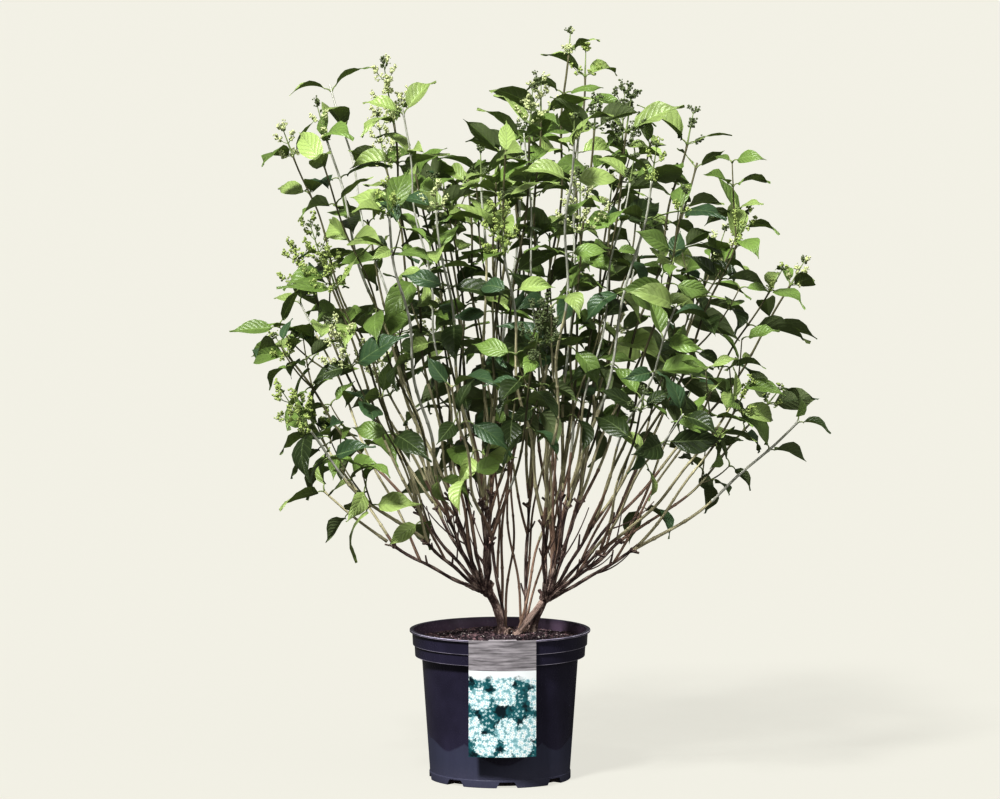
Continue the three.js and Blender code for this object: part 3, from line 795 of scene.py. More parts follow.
def normals_of(mesh):
    normals = np.empty(len(mesh.vertices) * 3, np.float32)
    mesh.vertices.foreach_get("normal", normals)
    return normals.reshape(-1, 3).astype(float)


def move_points(mesh, points):
    mesh.vertices.foreach_set("co", points.ravel().astype(np.float32))
    mesh.update()


def smooth_under(mesh, degrees):
    """Smooth shading with edges kept sharp where the surface turns by more than an angle."""
    mesh.shade_smooth()
    mesh.set_sharp_from_angle(angle=math.radians(degrees))


def dressed(piece, nodes=()):
    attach(piece, "root")
    if nodes:
        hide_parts(*nodes)
    return piece


def transported(points):
    """Directions along and square to a line of points, with no twist between neighbours."""
    along = np.gradient(points, axis=0)
    along /= np.linalg.norm(along, axis=1)[:, None]
    u = np.empty_like(points)
    u[0] = side_directions(along[0])[0]
    for k in range(1, len(points)):
        u[k] = unit(u[k - 1] - along[k] * u[k - 1].dot(along[k]))
    return along, u, np.cross(along, u)


def quads_between(rings, sides):
    """Faces between rings of points, each ring closed."""
    k, i = np.meshgrid(np.arange(rings - 1), np.arange(sides), indexing="ij")
    here = (k * sides + i).ravel()
    beside = (k * sides + (i + 1) % sides).ravel()
    return np.stack((here, beside, beside + sides, here + sides), axis=1)


def closed_faces(rings, sides, slot=0):
    """Faces between closed rings of points and over both ends. slot is one for all or one a ring."""
    slots = np.broadcast_to(slot, rings)
    foot = np.arange(sides)[None, ::-1]
    tip = (rings - 1) * sides + np.arange(sides)[None]
    return (quads_between(rings, sides), np.repeat(slots[:-1], sides)), (foot, slots[0]), (tip, slots[-1])


def tube(skin, points, radii, sides, relief=None, slot=0):
    """A closed limb round a line of points. relief lifts its skin by the angle and the distance along."""
    points = np.asarray(points, float)
    radii = np.broadcast_to(np.asarray(radii, float), len(points))
    _, u, v = transported(points)
    angles = 2 * math.pi * np.arange(sides) / sides
    run = np.concatenate(([0], np.cumsum(np.linalg.norm(np.diff(points, axis=0), axis=1))))
    radius = radii[:, None] * np.ones(sides)
    ridge = 0.5 * np.ones(sides * len(points))
    if relief is not None:
        lift = relief(angles[None], run[:, None])
        ridge = ridge_share(lift)
        radius = radius * (1 + lift)
    outwards = np.cos(angles)[None, :, None] * u[:, None] + np.sin(angles)[None, :, None] * v[:, None]
    rings = points[:, None] + radius[..., None] * outwards
    unrolled = np.empty_like(rings)
    unrolled[..., 0] = radii[:, None] * np.cos(angles)
    unrolled[..., 1] = radii[:, None] * np.sin(angles)
    unrolled[..., 2] = run[:, None]
    skin.add(rings, *closed_faces(len(points), sides, slot), grain=unrolled, ridge=ridge)


def lump(skin, centre, size, seed):
    """A closed knob of uneven roundness."""
    rows, sides = 9, 14
    bumps = ridges(seed, 0.12, count=3, lengthwise=0.1)
    polar = np.linspace(0.12, math.pi - 0.12, rows)[:, None]
    angles = 2 * math.pi * np.arange(sides)[None] / sides
    lift = bumps(angles, polar * 12)
    radius = 1 + lift
    flat = np.sin(polar) * radius
    points = np.stack((flat * np.cos(angles), flat * np.sin(angles), -np.cos(polar) * radius), axis=-1)
    points = centre + points * np.asarray(size, float)
    skin.add(points, *closed_faces(rows, sides), grain=points - centre, ridge=ridge_share(lift))


def ridge_share(lift):
    """How far up a ridge each point is, from 0 in a furrow to 1."""
    lift = np.ravel(lift)
    low, high = np.quantile(lift, (0.03, 0.97))
    return np.clip((lift - low) / max(high - low, 1e-6), 0, 1)


def ridges(seed, depth, count=7, lengthwise=0.012):
    """A relief of ridges that run along a limb and wind slowly round it."""
    random = Stream(seed)
    waves = [
        (
            2 + int(random() * count),
            random.spread(lengthwise * 2 * math.pi),
            random.between(0, 2 * math.pi),
            random.between(0.4, 1),
        )
        for _ in range(6)
    ]
    knots = [(random.between(0.03, 0.12), random.between(0, 6.3), random.between(0.2, 0.5)) for _ in range(3)]

    def relief(angle, run):
        total = sum(
            weight * np.cos(turns * angle + rate * run * turns + start)
            for turns, rate, start, weight in waves
        )
        swell = sum(weight * np.sin(rate * run * 2 + start) for rate, start, weight in knots)
        return depth * (total / 3 + swell)

    return relief


# Shader wiring


class Wiring:
    """Adds nodes to a tree and joins them."""

    def __init__(self, tree):
        self.tree = tree

    def add(self, kind, inputs=None, **settings):
        node = self.tree.nodes.new(kind)
        for name, value in settings.items():
            setattr(node, name, value)
        for key, value in (inputs or {}).items():
            self.plug(node.inputs[key], value)
        return node

    def plug(self, socket, value):
        """Links another node's socket to this one, or sets it to a constant."""
        if isinstance(value, bpy.types.NodeSocket):
            self.tree.links.new(value, socket)
        else:
            socket.default_value = value

    def math(self, operation, *values):
        return self.add("ShaderNodeMath", dict(enumerate(values)), operation=operation).outputs[0]

    def plus(self, a, b):
        return self.math("ADD", a, b)

    def minus(self, a, b):
        return self.math("SUBTRACT", a, b)

    def times(self, a, b):
        return self.math("MULTIPLY", a, b)

    def mix(self, factor, a, b):
        """Colour a, with b over it by the factor."""
        return self.add("ShaderNodeMix", {0: factor, 6: a, 7: b}, data_type="RGBA").outputs[2]

    def fade(self, value, low, high, to_low=0.0, to_high=1.0):
        inputs = {"Value": value, "From Min": low, "From Max": high, "To Min": to_low, "To Max": to_high}
        return self.add("ShaderNodeMapRange", inputs, interpolation_type="SMOOTHSTEP").outputs[0]

    def noise(self, vector, scale, detail=3.0, roughness=0.5):
        inputs = {"Vector": vector, "Scale": scale, "Detail": detail, "Roughness": roughness}
        return self.add("ShaderNodeTexNoise", inputs).outputs[0]

    def bump(self, height, strength, distance=MM):
        inputs = {"Height": height, "Strength": strength, "Distance": distance}
        return self.add("ShaderNodeBump", inputs).outputs[0]

    def xyz(self, vector):
        return self.add("ShaderNodeSeparateXYZ", {0: vector}).outputs

    def vector(self, operation, inputs):
        return self.add("ShaderNodeVectorMath", inputs, operation=operation).outputs[0]

    def own_place(self):
        return self.add("ShaderNodeTexCoord").outputs["Object"]

    def attribute(self, name, output="Vector"):
        return self.add("ShaderNodeAttribute", attribute_name=name).outputs[output]

    def group(self, tree, inputs):
        return self.add("ShaderNodeGroup", inputs, node_tree=tree)


def effect(name, inputs, outputs):
    """An empty shader node group with named sockets, its wiring, and its sockets."""
    tree = bpy.data.node_groups.new(name, "ShaderNodeTree")
    for name, default in inputs.items():
        socket = tree.interface.new_socket(name, in_out="INPUT", socket_type="NodeSocketFloat")
        socket.default_value = default
    for name in outputs:
        tree.interface.new_socket(name, in_out="OUTPUT", socket_type="NodeSocketFloat")
    wiring = Wiring(tree)
    return tree, wiring, wiring.add("NodeGroupInput").outputs, wiring.add("NodeGroupOutput").inputs


@functools.cache
def bark_grain():
    """Long fibres and small warts that follow a limb."""
    tree, w, given, out = effect("Bark Grain", {"Fibres": 900.0, "Stretch": 0.12}, ("Fibre", "Wart"))
    shrink = w.add("ShaderNodeCombineXYZ", {0: 1.0, 1: 1.0, 2: given["Stretch"]}).outputs[0]
    place_on_limb = w.vector("MULTIPLY", {0: w.attribute("grain"), 1: shrink})
    fibre = w.noise(place_on_limb, given["Fibres"], 5.0, 0.62)
    cells = w.add("ShaderNodeTexVoronoi", {"Vector": w.attribute("grain"), "Scale": 420.0})
    w.plug(out["Fibre"], w.fade(fibre, 0.3, 0.7))
    w.plug(out["Wart"], w.fade(cells.outputs["Distance"], 0.32, 0.12))
    return tree


@functools.cache
def blotches():
    """Soft uneven patches, coarse and fine together."""
    tree, w, given, out = effect("Blotches", {"Coarse": 40.0, "Fine": 400.0}, ("Coarse", "Fine"))
    here = w.own_place()
    for name, detail in (("Coarse", 3.0), ("Fine", 4.0)):
        value = w.noise(here, given[name], detail, 0.55)
        w.plug(out[name], w.fade(value, 0.32, 0.68))
    return tree


@functools.cache
def dust_film():
    """Where dust and dried splashes stay: low down, and on what faces upwards."""
    tree, w, given, out = effect("Dust Film", {"Low": 0.02, "High": 0.06}, ("Dust",))
    here = w.own_place()
    height = w.xyz(here)[2]
    upward = w.xyz(w.add("ShaderNodeNewGeometry").outputs["Normal"])[2]
    wave = w.noise(here, 16.0, 2.0, 0.5)
    shifted = w.plus(height, w.times(wave, -0.02))
    low = w.fade(shifted, given["High"], given["Low"])
    top = w.fade(upward, 0.5, 0.95)
    speckle = w.fade(w.noise(here, 230.0, 5.0, 0.7), 0.42, 0.66)
    either = w.math("MAXIMUM", low, top)
    w.plug(out[0], w.times(either, w.plus(0.45, w.times(speckle, 0.55))))
    return tree


def finish(name):
    """A new material, its wiring and its Principled shader."""
    material = bpy.data.materials.new(name)
    material.use_nodes = True
    wiring = Wiring(material.node_tree)
    return material, wiring, material.node_tree.nodes["Principled BSDF"]


def feed(wiring, shader, **sources):
    """Sets or links the shader's sockets, named with underscores for spaces."""
    for name, source in sources.items():
        wiring.plug(shader.inputs[name.replace("_", " ")], source)


def shade(colour, factor=1):
    return (*(min(channel * factor, 1) for channel in colour[:3]), 1)


# Finishes


def pot_plastic(settings):
    """Dark plastic with a painted reflection of the floor on its foot, faint dust on what faces up, a painted
    highlight along its edges, and painted light on its inner wall.
    """
    material, w, shader = finish("Glossy dark pot plastic")
    coarse, fine = w.group(blotches(), {"Coarse": 14.0, "Fine": 320.0}).outputs
    here = w.own_place()
    stretched = w.add("ShaderNodeMapping", {"Vector": here, "Scale": (90.0, 90.0, 3.0)}).outputs[0]
    flow = w.noise(stretched, 1.0, 4.0, 0.6)
    x, y, z = w.xyz(here)
    # Painted reflection of the floor: a paler, rougher band round the foot with a lobed upper edge.
    around = w.minus(w.math("ARCTAN2", x, w.math("ABSOLUTE", y)), math.radians(REFLECTION_TURN_DEG))
    squared = w.times(around, around)
    turns = w.plus(REFLECTION_TURNS[0], w.times(squared, REFLECTION_TURNS[1]))
    lobe = w.math("ABSOLUTE", w.math("COSINE", w.times(around, turns)))
    depth = w.minus(REFLECTION_LOBE_HEIGHT * MM, w.times(squared, REFLECTION_SIDE_LOBES * MM))
    edge = w.plus(w.times(lobe, depth), w.times(w.noise(here, 30.0, 2.0), 6 * MM))
    floor_reflection = w.fade(w.plus(z, edge), (REFLECTION_TOP + 5) * MM, (REFLECTION_TOP + 1) * MM, 0, 0.7)
    dust = w.group(dust_film(), {"Low": 0.004, "High": 0.03}).outputs[0]
    body = w.mix(coarse, shade(settings.plastic, 0.8), shade(settings.plastic, 1.2))
    with_floor_reflection = w.mix(w.times(floor_reflection, w.fade(flow, 0.2, 0.7, 0.8, 1)), body, shade(settings.haze))
    dust_and_painted_light = w.mix(w.times(dust, 0.3), with_floor_reflection, shade(settings.dust))
    radius = w.math("SQRT", w.plus(w.times(x, x), w.times(y, y)))
    # Painted light: the inner wall above the soil is made paler to lift the shade it stands in.
    wall = UPPER_BAND_RADII[1] * MM
    inside = w.times(w.fade(radius, wall - 0.5 * MM, wall - 1.5 * MM), w.fade(z, 0.208, 0.21))
    dust_and_painted_light = w.mix(inside, dust_and_painted_light, shade(settings.inside))
    # Painted highlight: a thin pale line along each ring of the pot's edges, patchy along its length.
    painted_highlight = 0.0
    for ring_radius, height in HIGHLIGHT_RINGS:
        off = w.minus(radius, ring_radius * MM)
        rise = w.minus(z, height * MM)
        far = w.math("SQRT", w.plus(w.times(off, off), w.times(rise, rise)))
        painted_highlight = w.math("MAXIMUM", painted_highlight, w.fade(far, 1.3 * MM, 0.4 * MM))
    patchy = w.fade(w.noise(here, 24.0, 3.0), 0.3, 0.6, 0.35, 0.95)
    worn = w.times(painted_highlight, patchy)
    feed(w, shader, Base_Color=w.mix(worn, dust_and_painted_light, shade(settings.painted_highlight)))
    rough = w.plus(w.times(fine, 0.06), w.times(flow, 0.12))
    feed(w, shader, Roughness=w.plus(w.plus(rough, 0.16), w.times(floor_reflection, 0.3)))
    grain = w.plus(w.times(w.noise(here, 1500.0, 2.0), 0.5), flow)
    feed(w, shader, Normal=w.bump(grain, 0.1, 0.4 * MM), Specular_IOR_Level=0.34)
    return material


def potting_mix(settings):
    material, w, shader = finish("Peaty potting mix")
    coarse, fine = w.group(blotches(), {"Coarse": 60.0, "Fine": 520.0}).outputs
    cells = w.add("ShaderNodeTexVoronoi", {"Vector": w.own_place(), "Scale": 340.0})
    tone = w.mix(coarse, shade(settings.mix_dark), shade(settings.mix_light))
    # Painted shade: the mix darkens towards the gaps between clods, where the bump sinks.
    clod = w.fade(cells.outputs["Distance"], 0.1, 0.75)
    feed(w, shader, Base_Color=w.mix(clod, tone, shade(settings.mix_dark, 0.35)), Roughness=0.92)
    height = w.plus(fine, w.times(clod, -1.0))
    feed(w, shader, Normal=w.bump(height, 0.7, 1.5 * MM), Specular_IOR_Level=0.25)
    return material


def crumb_finish(name, colour, spread):
    material, w, shader = finish(name)
    coarse, fine = w.group(blotches(), {"Coarse": 150.0, "Fine": 900.0}).outputs
    tone = w.mix(coarse, shade(colour, 1 - spread), shade(colour, 1 + spread))
    feed(w, shader, Base_Color=tone, Roughness=0.88, Specular_IOR_Level=0.25)
    feed(w, shader, Normal=w.bump(fine, 0.6, 0.5 * MM))
    return material


def bark_finish(name, colours, wart=0.5):
    """Bark that is dark in its furrows and pale on its ridges: partly the bark's own colour, partly painted
    shade in the furrows and a painted highlight on the ridges.
    """
    material, w, shader = finish(name)
    dark, middle, pale = (shade(colour) for colour in colours)
    fibre, wart_spots = w.group(bark_grain(), {"Fibres": 700.0, "Stretch": 0.1}).outputs
    ridge = w.attribute("ridge", "Fac")
    lit = w.plus(w.times(ridge, 0.62), w.times(fibre, 0.38))
    low = w.mix(w.fade(lit, 0.12, 0.5), dark, middle)
    tone = w.mix(w.fade(lit, 0.52, 0.82), low, pale)
    warts = w.times(wart_spots, wart)
    feed(w, shader, Base_Color=w.mix(warts, tone, pale), Roughness=w.fade(fibre, 0, 1, 0.62, 0.86))
    height = w.plus(fibre, w.times(wart_spots, 0.5))
    feed(w, shader, Normal=w.bump(height, 0.75, 0.5 * MM), Specular_IOR_Level=0.3)
    return material


def cane_finish(name, dark, pale, fleck):
    """A young cane: fine streaks along it and small corky flecks."""
    material, w, shader = finish(name)
    fibre, wart_spots = w.group(bark_grain(), {"Fibres": 1100.0, "Stretch": 0.05}).outputs
    tone = w.mix(fibre, shade(dark), shade(pale))
    flecks = w.times(wart_spots, fleck)
    feed(w, shader, Base_Color=w.mix(flecks, tone, shade(pale, 1.3)), Roughness=0.5, Specular_IOR_Level=0.4)
    feed(w, shader, Normal=w.bump(fibre, 0.4, 0.25 * MM))
    return material


def leaf_finish(name, colour, settings):
    """A leaf blade: quilted between its veins, glossy above, dull beneath, a little light through it."""
    material, w, shader = finish(name)
    coarse, fine = w.group(blotches(), {"Coarse": 55.0, "Fine": 420.0}).outputs
    blade = w.xyz(w.attribute("grain"))
    slanted = w.times(w.math("ABSOLUTE", blade[1]), -VEIN_SLANT)
    wave = w.times(w.plus(blade[0], slanted), math.pi * VEIN_PAIRS)
    quilt = w.math("ABSOLUTE", w.math("SINE", wave))
    vein = w.fade(quilt, 0.3, 0.04)
    own = w.mix(blade[2], shade(colour, 0.72), shade(colour, 1.32))
    face = w.mix(w.times(coarse, 0.5), own, shade(colour, 1.25))
    face = w.mix(w.times(vein, 0.3), face, shade(settings.rib, 0.8))
    back = w.add("ShaderNodeNewGeometry").outputs["Backfacing"]
    tone = w.mix(back, face, w.mix(w.times(vein, 0.35), shade(settings.under), shade(settings.rib)))
    gloss = w.fade(back, 0, 1, settings.roughness, 0.75)
    feed(w, shader, Base_Color=tone, Roughness=gloss, Specular_IOR_Level=0.62)
    height = w.plus(w.math("POWER", quilt, 0.55), w.times(fine, 0.25))
    feed(w, shader, Normal=w.bump(height, 0.75, 0.9 * MM))
    through = w.add("ShaderNodeBsdfTranslucent", {"Color": shade(settings.glow)})
    both = w.add("ShaderNodeMixShader", {0: 0.11, 1: shader.outputs[0], 2: through.outputs[0]})
    output = material.node_tree.nodes["Material Output"]
    material.node_tree.links.new(both.outputs[0], output.inputs["Surface"])
    return material


def fleshy_finish(name, colour, roughness=0.5):
    """Ribs, leaf stalks, flower stalks and buds."""
    material, w, shader = finish(name)
    coarse, fine = w.group(blotches(), {"Coarse": 120.0, "Fine": 900.0}).outputs
    tone = w.mix(coarse, shade(colour, 0.85), shade(colour, 1.15))
    feed(w, shader, Base_Color=tone, Roughness=w.fade(fine, 0, 1, roughness, roughness + 0.15))
    return material


def label_print(settings):
    """A weathered band over a field of little four-petalled flowers, printed on a card."""
    material, w, shader = finish("Label print")
    across_up = w.add("ShaderNodeUVMap", uv_map="card").outputs[0]
    across, up, _ = w.xyz(across_up)
    width_up = w.add("ShaderNodeCombineXYZ", {0: across, 1: w.times(up, LABEL_DROP / LABEL_WIDTH)})
    field = width_up.outputs[0]
    haze = w.noise(field, 5.0, 4.0, 0.6)
    backdrop = w.mix(w.fade(haze, 0.4, 0.52), shade(settings.print_deep), shade(settings.print_mid))
    cells = {"Vector": field, "Scale": 2.7, "Randomness": 0.8}
    heads = w.add("ShaderNodeTexVoronoi", cells, voronoi_dimensions="2D")
    frayed = w.plus(heads.outputs["Distance"], w.times(w.noise(field, 13.0, 4.0, 0.7), 0.55))
    in_head = w.fade(frayed, 0.76, 0.68)
    faint = w.fade(haze, 0.5, 0.53, 0, 0.7)
    backdrop = printed_flowers(w, field, backdrop, settings, 17.0, 4, 0.4, 7.7, faint)
    backdrop = w.mix(w.times(in_head, 0.62), backdrop, shade(settings.petal_shade))
    for scale, petals, size, offset in ((15.0, 5, 0.52, 3.1), (11.5, 4, 0.56, 0.0)):
        backdrop = printed_flowers(w, field, backdrop, settings, scale, petals, size, offset, in_head)
    rising = w.fade(w.plus(up, w.times(haze, 0.14)), 0.735, 0.765)
    picture = w.mix(rising, backdrop, shade(settings.print_pale))
    planks = w.add("ShaderNodeMapping", {"Vector": field, "Scale": (1.0, 12.0, 1.0)}).outputs[0]
    streak = w.fade(w.noise(planks, 2.2, 7.0, 0.62), 0.3, 0.72)
    knot = w.add("ShaderNodeTexWave", {"Vector": planks, "Scale": 0.5, "Distortion": 9.0, "Detail": 3.0})
    wood = w.mix(streak, shade(settings.band, 0.26), shade(settings.band, 1.35))
    wood = w.mix(w.times(knot.outputs["Fac"], 0.35), wood, shade(settings.band, 0.8))
    in_band = w.fade(up, 1 - settings.band_share - 0.002, 1 - settings.band_share + 0.002)
    feed(w, shader, Base_Color=w.mix(in_band, picture, wood), Roughness=0.34, Specular_IOR_Level=0.5)
    feed(w, shader, Normal=w.bump(w.noise(field, 60.0, 3.0), 0.05, 0.3 * MM), Coat_Weight=0.2)
    return material


def printed_flowers(w, field, under, settings, scale, petals, size, offset, share):
    """Flat flowers, one to a cell of an uneven scatter, over what is under them, shown by the share."""
    shifted = w.vector("ADD", {0: field, 1: (offset, offset, 0.0)})
    cells = {"Vector": shifted, "Scale": scale, "Randomness": 0.75}
    cell = w.add("ShaderNodeTexVoronoi", cells, voronoi_dimensions="2D")
    scaled = w.vector("SCALE", {0: shifted, 3: scale})
    middle = w.vector("SCALE", {0: cell.outputs["Position"], 3: scale})
    away = w.vector("SUBTRACT", {0: scaled, 1: middle})
    x, y, _ = w.xyz(away)
    tint = w.xyz(cell.outputs["Color"])[0]
    angle = w.math("ARCTAN2", y, x)
    turned = w.plus(w.times(angle, petals / 2), w.times(tint, 6.0))
    lobe = w.math("ABSOLUTE", w.math("COSINE", turned))
    rim = w.times(w.plus(0.5, w.times(lobe, 0.5)), size)
    inside = w.minus(rim, cell.outputs["Distance"])
    petal = w.fade(inside, 0.0, 0.035)
    heart = w.fade(cell.outputs["Distance"], 0.09, 0.05)
    shape = w.times(petal, share)
    white = w.mix(w.fade(inside, 0.0, 0.25), shade(settings.petal_shade), shade(settings.petal))
    flower = w.mix(heart, white, shade(settings.heart))
    return w.mix(shape, under, flower)


def card_plastic(settings):
    material, w, shader = finish("Label back")
    coarse, fine = w.group(blotches(), {"Coarse": 30.0, "Fine": 500.0}).outputs
    tone = w.mix(coarse, shade(settings.band, 0.9), shade(settings.band, 1.2))
    feed(w, shader, Base_Color=tone, Roughness=w.fade(fine, 0, 1, 0.35, 0.45))
    return material


def stage_finish(name, colour, roughness, glow):
    """A matt floor that glows to the camera only, so that shadows on it stay faint."""
    material, w, shader = finish(name)
    seen = w.add("ShaderNodeLightPath").outputs["Is Camera Ray"]
    feed(w, shader, Base_Color=shade(colour, 1 - glow), Roughness=roughness, Specular_IOR_Level=0.1)
    feed(w, shader, Emission_Color=shade(colour), Emission_Strength=w.times(seen, glow))
    return material


# Geometry Nodes


def growth_tree(name, sizes):
    """A Geometry Nodes tree with a mesh in and out and named sizes, its wiring, and its sockets."""
    tree = bpy.data.node_groups.new(name, "GeometryNodeTree")
    tree.interface.new_socket("Geometry", in_out="INPUT", socket_type="NodeSocketGeometry")
    for size, (kind, default) in sizes.items():
        socket = tree.interface.new_socket(size, in_out="INPUT", socket_type=kind)
        if default is not None:
            socket.default_value = default
    tree.interface.new_socket("Geometry", in_out="OUTPUT", socket_type="NodeSocketGeometry")
    wiring = Wiring(tree)
    return tree, wiring, wiring.add("NodeGroupInput").outputs, wiring.add("NodeGroupOutput").inputs


def grown_by(piece, tree, values):
    """The piece's mesh after the tree with these inputs."""
    modifier = piece.modifiers.new(tree.name, "NODES")
    modifier.node_group = tree
    for item in tree.interface.items_tree:
        if item.item_type == "SOCKET" and item.in_out == "INPUT" and item.name in values:
            modifier[item.identifier] = values[item.name]
    return evaluated_mesh(piece)


def deal(w, points, thing, turn, scale, finish_given, out, smooth=False):
    """Fills a tree's mesh with a turned and scaled copy of a thing at each point, in its material."""
    inputs = {"Points": points, "Instance": thing, "Rotation": turn, "Scale": scale}
    dealt = w.add("GeometryNodeInstanceOnPoints", inputs)
    real = w.add("GeometryNodeRealizeInstances", {"Geometry": dealt.outputs[0]}).outputs[0]
    if smooth:
        real = w.add("GeometryNodeSetShadeSmooth", {"Geometry": real}).outputs[0]
    worn = w.add("GeometryNodeSetMaterial", {"Geometry": real, "Material": finish_given})
    w.plug(out["Geometry"], worn.outputs[0])


@functools.cache
def bud_tree():
    """A bud at each point of a mesh, sized by the point's own size."""
    sizes = {
        "Radius": ("NodeSocketFloat", 0.0014),
        "Length Share": ("NodeSocketFloat", 1.15),
        "Seed": ("NodeSocketInt", 1),
        "Finish": ("NodeSocketMaterial", None),
    }
    tree, w, given, out = growth_tree("Buds on stalks", sizes)
    bud = w.add("GeometryNodeMeshIcoSphere", {"Radius": given["Radius"], "Subdivisions": 1})
    stretch = w.add("ShaderNodeCombineXYZ", {0: 1.0, 1: 1.0, 2: given["Length Share"]})
    shaped = w.add("GeometryNodeTransform", {"Geometry": bud.outputs["Mesh"], "Scale": stretch.outputs[0]})
    size = w.add("GeometryNodeInputNamedAttribute", {"Name": "size"}, data_type="FLOAT")
    spins = {1: (6.2832, 6.2832, 6.2832), "Seed": given["Seed"]}
    turn = w.add("FunctionNodeRandomValue", spins, data_type="FLOAT_VECTOR").outputs[0]
    deal(w, given["Geometry"], shaped.outputs[0], turn, size.outputs[0], given["Finish"], out, smooth=True)
    return tree


@functools.cache
def crumb_tree():
    """Crumbs and chips scattered over a surface, each turned and squashed in its own way."""
    sizes = {
        "Density": ("NodeSocketFloat", 10000.0),
        "Size": ("NodeSocketFloat", 0.002),
        "Slimness": ("NodeSocketFloat", 0.4),
        "Seed": ("NodeSocketInt", 1),
        "Finish": ("NodeSocketMaterial", None),
    }
    tree, w, given, out = growth_tree("Crumbs on soil", sizes)
    faces = {"Mesh": given["Geometry"], "Density": given["Density"], "Seed": given["Seed"]}
    spots = w.add("GeometryNodeDistributePointsOnFaces", faces)
    crumb = w.add("GeometryNodeMeshIcoSphere", {"Radius": given["Size"], "Subdivisions": 2})
    wobble = w.add("ShaderNodeTexNoise", {"Scale": 420.0, "Detail": 1.0})
    centred = w.vector("SUBTRACT", {0: wobble.outputs["Color"], 1: (0.5, 0.5, 0.5)})
    moved = w.vector("SCALE", {0: centred, 3: w.times(given["Size"], 1.8)})
    rough = w.add("GeometryNodeSetPosition", {"Geometry": crumb.outputs["Mesh"], "Offset": moved})
    least = w.add("ShaderNodeCombineXYZ", {0: 0.5, 1: 0.35, 2: given["Slimness"]})
    most = w.add("ShaderNodeCombineXYZ", {0: 1.5, 1: 1.0, 2: 0.9})
    sizes = {0: least.outputs[0], 1: most.outputs[0], "Seed": given["Seed"]}
    scale = w.add("FunctionNodeRandomValue", sizes, data_type="FLOAT_VECTOR").outputs[0]
    spins = {0: (-0.5, -0.5, 0.0), 1: (0.5, 0.5, 6.2832), "Seed": given["Seed"]}
    turn = w.add("FunctionNodeRandomValue", spins, data_type="FLOAT_VECTOR").outputs[0]
    deal(w, spots.outputs["Points"], rough.outputs[0], turn, scale, given["Finish"], out)
    return tree


# Pot


def filleted(profile):
    """A profile of (radius, height, rounding) corners with each corner rounded."""
    corners = [np.array(corner[:2], float) for corner in profile]
    line = [corners[0]]
    for before, corner, after, (_, _, rounding) in zip(corners, corners[1:], corners[2:], profile[1:]):
        if not rounding:
            line.append(corner)
            continue
        a, b = before - corner, after - corner
        length_a, length_b = np.linalg.norm(a), np.linalg.norm(b)
        half = math.acos(np.clip(a.dot(b) / length_a / length_b, -1, 1)) / 2
        back = min(rounding / math.tan(half), 0.48 * length_a, 0.48 * length_b)
        fillet = Bend(corner + a / length_a * back, corner, corner + b / length_b * back)
        line.extend(fillet.point(np.linspace(0, 1, 5)))
    line.append(corners[-1])
    return np.array(line)


def turned(skin, profile, sides):
    """A closed body turned about the pot's axis from its profile's foot to its top."""
    angles = 2 * math.pi * np.arange(sides) / sides
    radius, height = profile[:, 0, None], profile[:, 1, None]
    rings = np.stack((radius * np.cos(angles), radius * np.sin(angles), height + 0 * angles), axis=-1)
    skin.add(rings, *closed_faces(len(profile), sides))


def inner_wall(gap):
    """The pot's inner wall from the floor up, moved inwards and upwards by a gap."""
    inset = POT_WALL + gap
    return [
        (BODY_RADII[1] - inset, POT_FLOOR + gap, 3),
        (BODY_RADII[0] - inset, LOWER_BAND_BOTTOM + inset, 2),
        (LOWER_BAND_RADII[1] - inset, LOWER_BAND_BOTTOM + inset, 2),
        (LOWER_BAND_RADII[0] - inset, UPPER_BAND_BOTTOM + inset, 1),
        (UPPER_BAND_RADII[1] - inset, UPPER_BAND_BOTTOM + inset, 1),
    ]


def notch_cutter(skin, index):
    """A tapered block that cuts one drain notch through the pot's foot."""
    angle = math.radians(-90 + NOTCH_TURN_DEG + 360 * index / NOTCH_COUNT)
    outwards = np.array((math.cos(angle), math.sin(angle), 0))
    aside = np.array((-math.sin(angle), math.cos(angle), 0))
    foot, top = NOTCH_FOOT_WIDTH / 2, NOTCH_TOP_WIDTH / 2
    outline = [(-foot, -1), (foot, -1), (top, NOTCH_HEIGHT), (-top, NOTCH_HEIGHT)]
    corners = filleted([(x, z, 2.5 if z > 0 else 0) for x, z in outline] + [(-foot, -1, 0)])[:-1]
    near, far = BODY_RADII[1] - NOTCH_REACH, BODY_RADII[1] + NOTCH_REACH
    rings = [[outwards * depth + aside * x + Z_AXIS * z for x, z in corners] for depth in (near, far)]
    skin.add(rings, *closed_faces(len(rings), len(corners)))


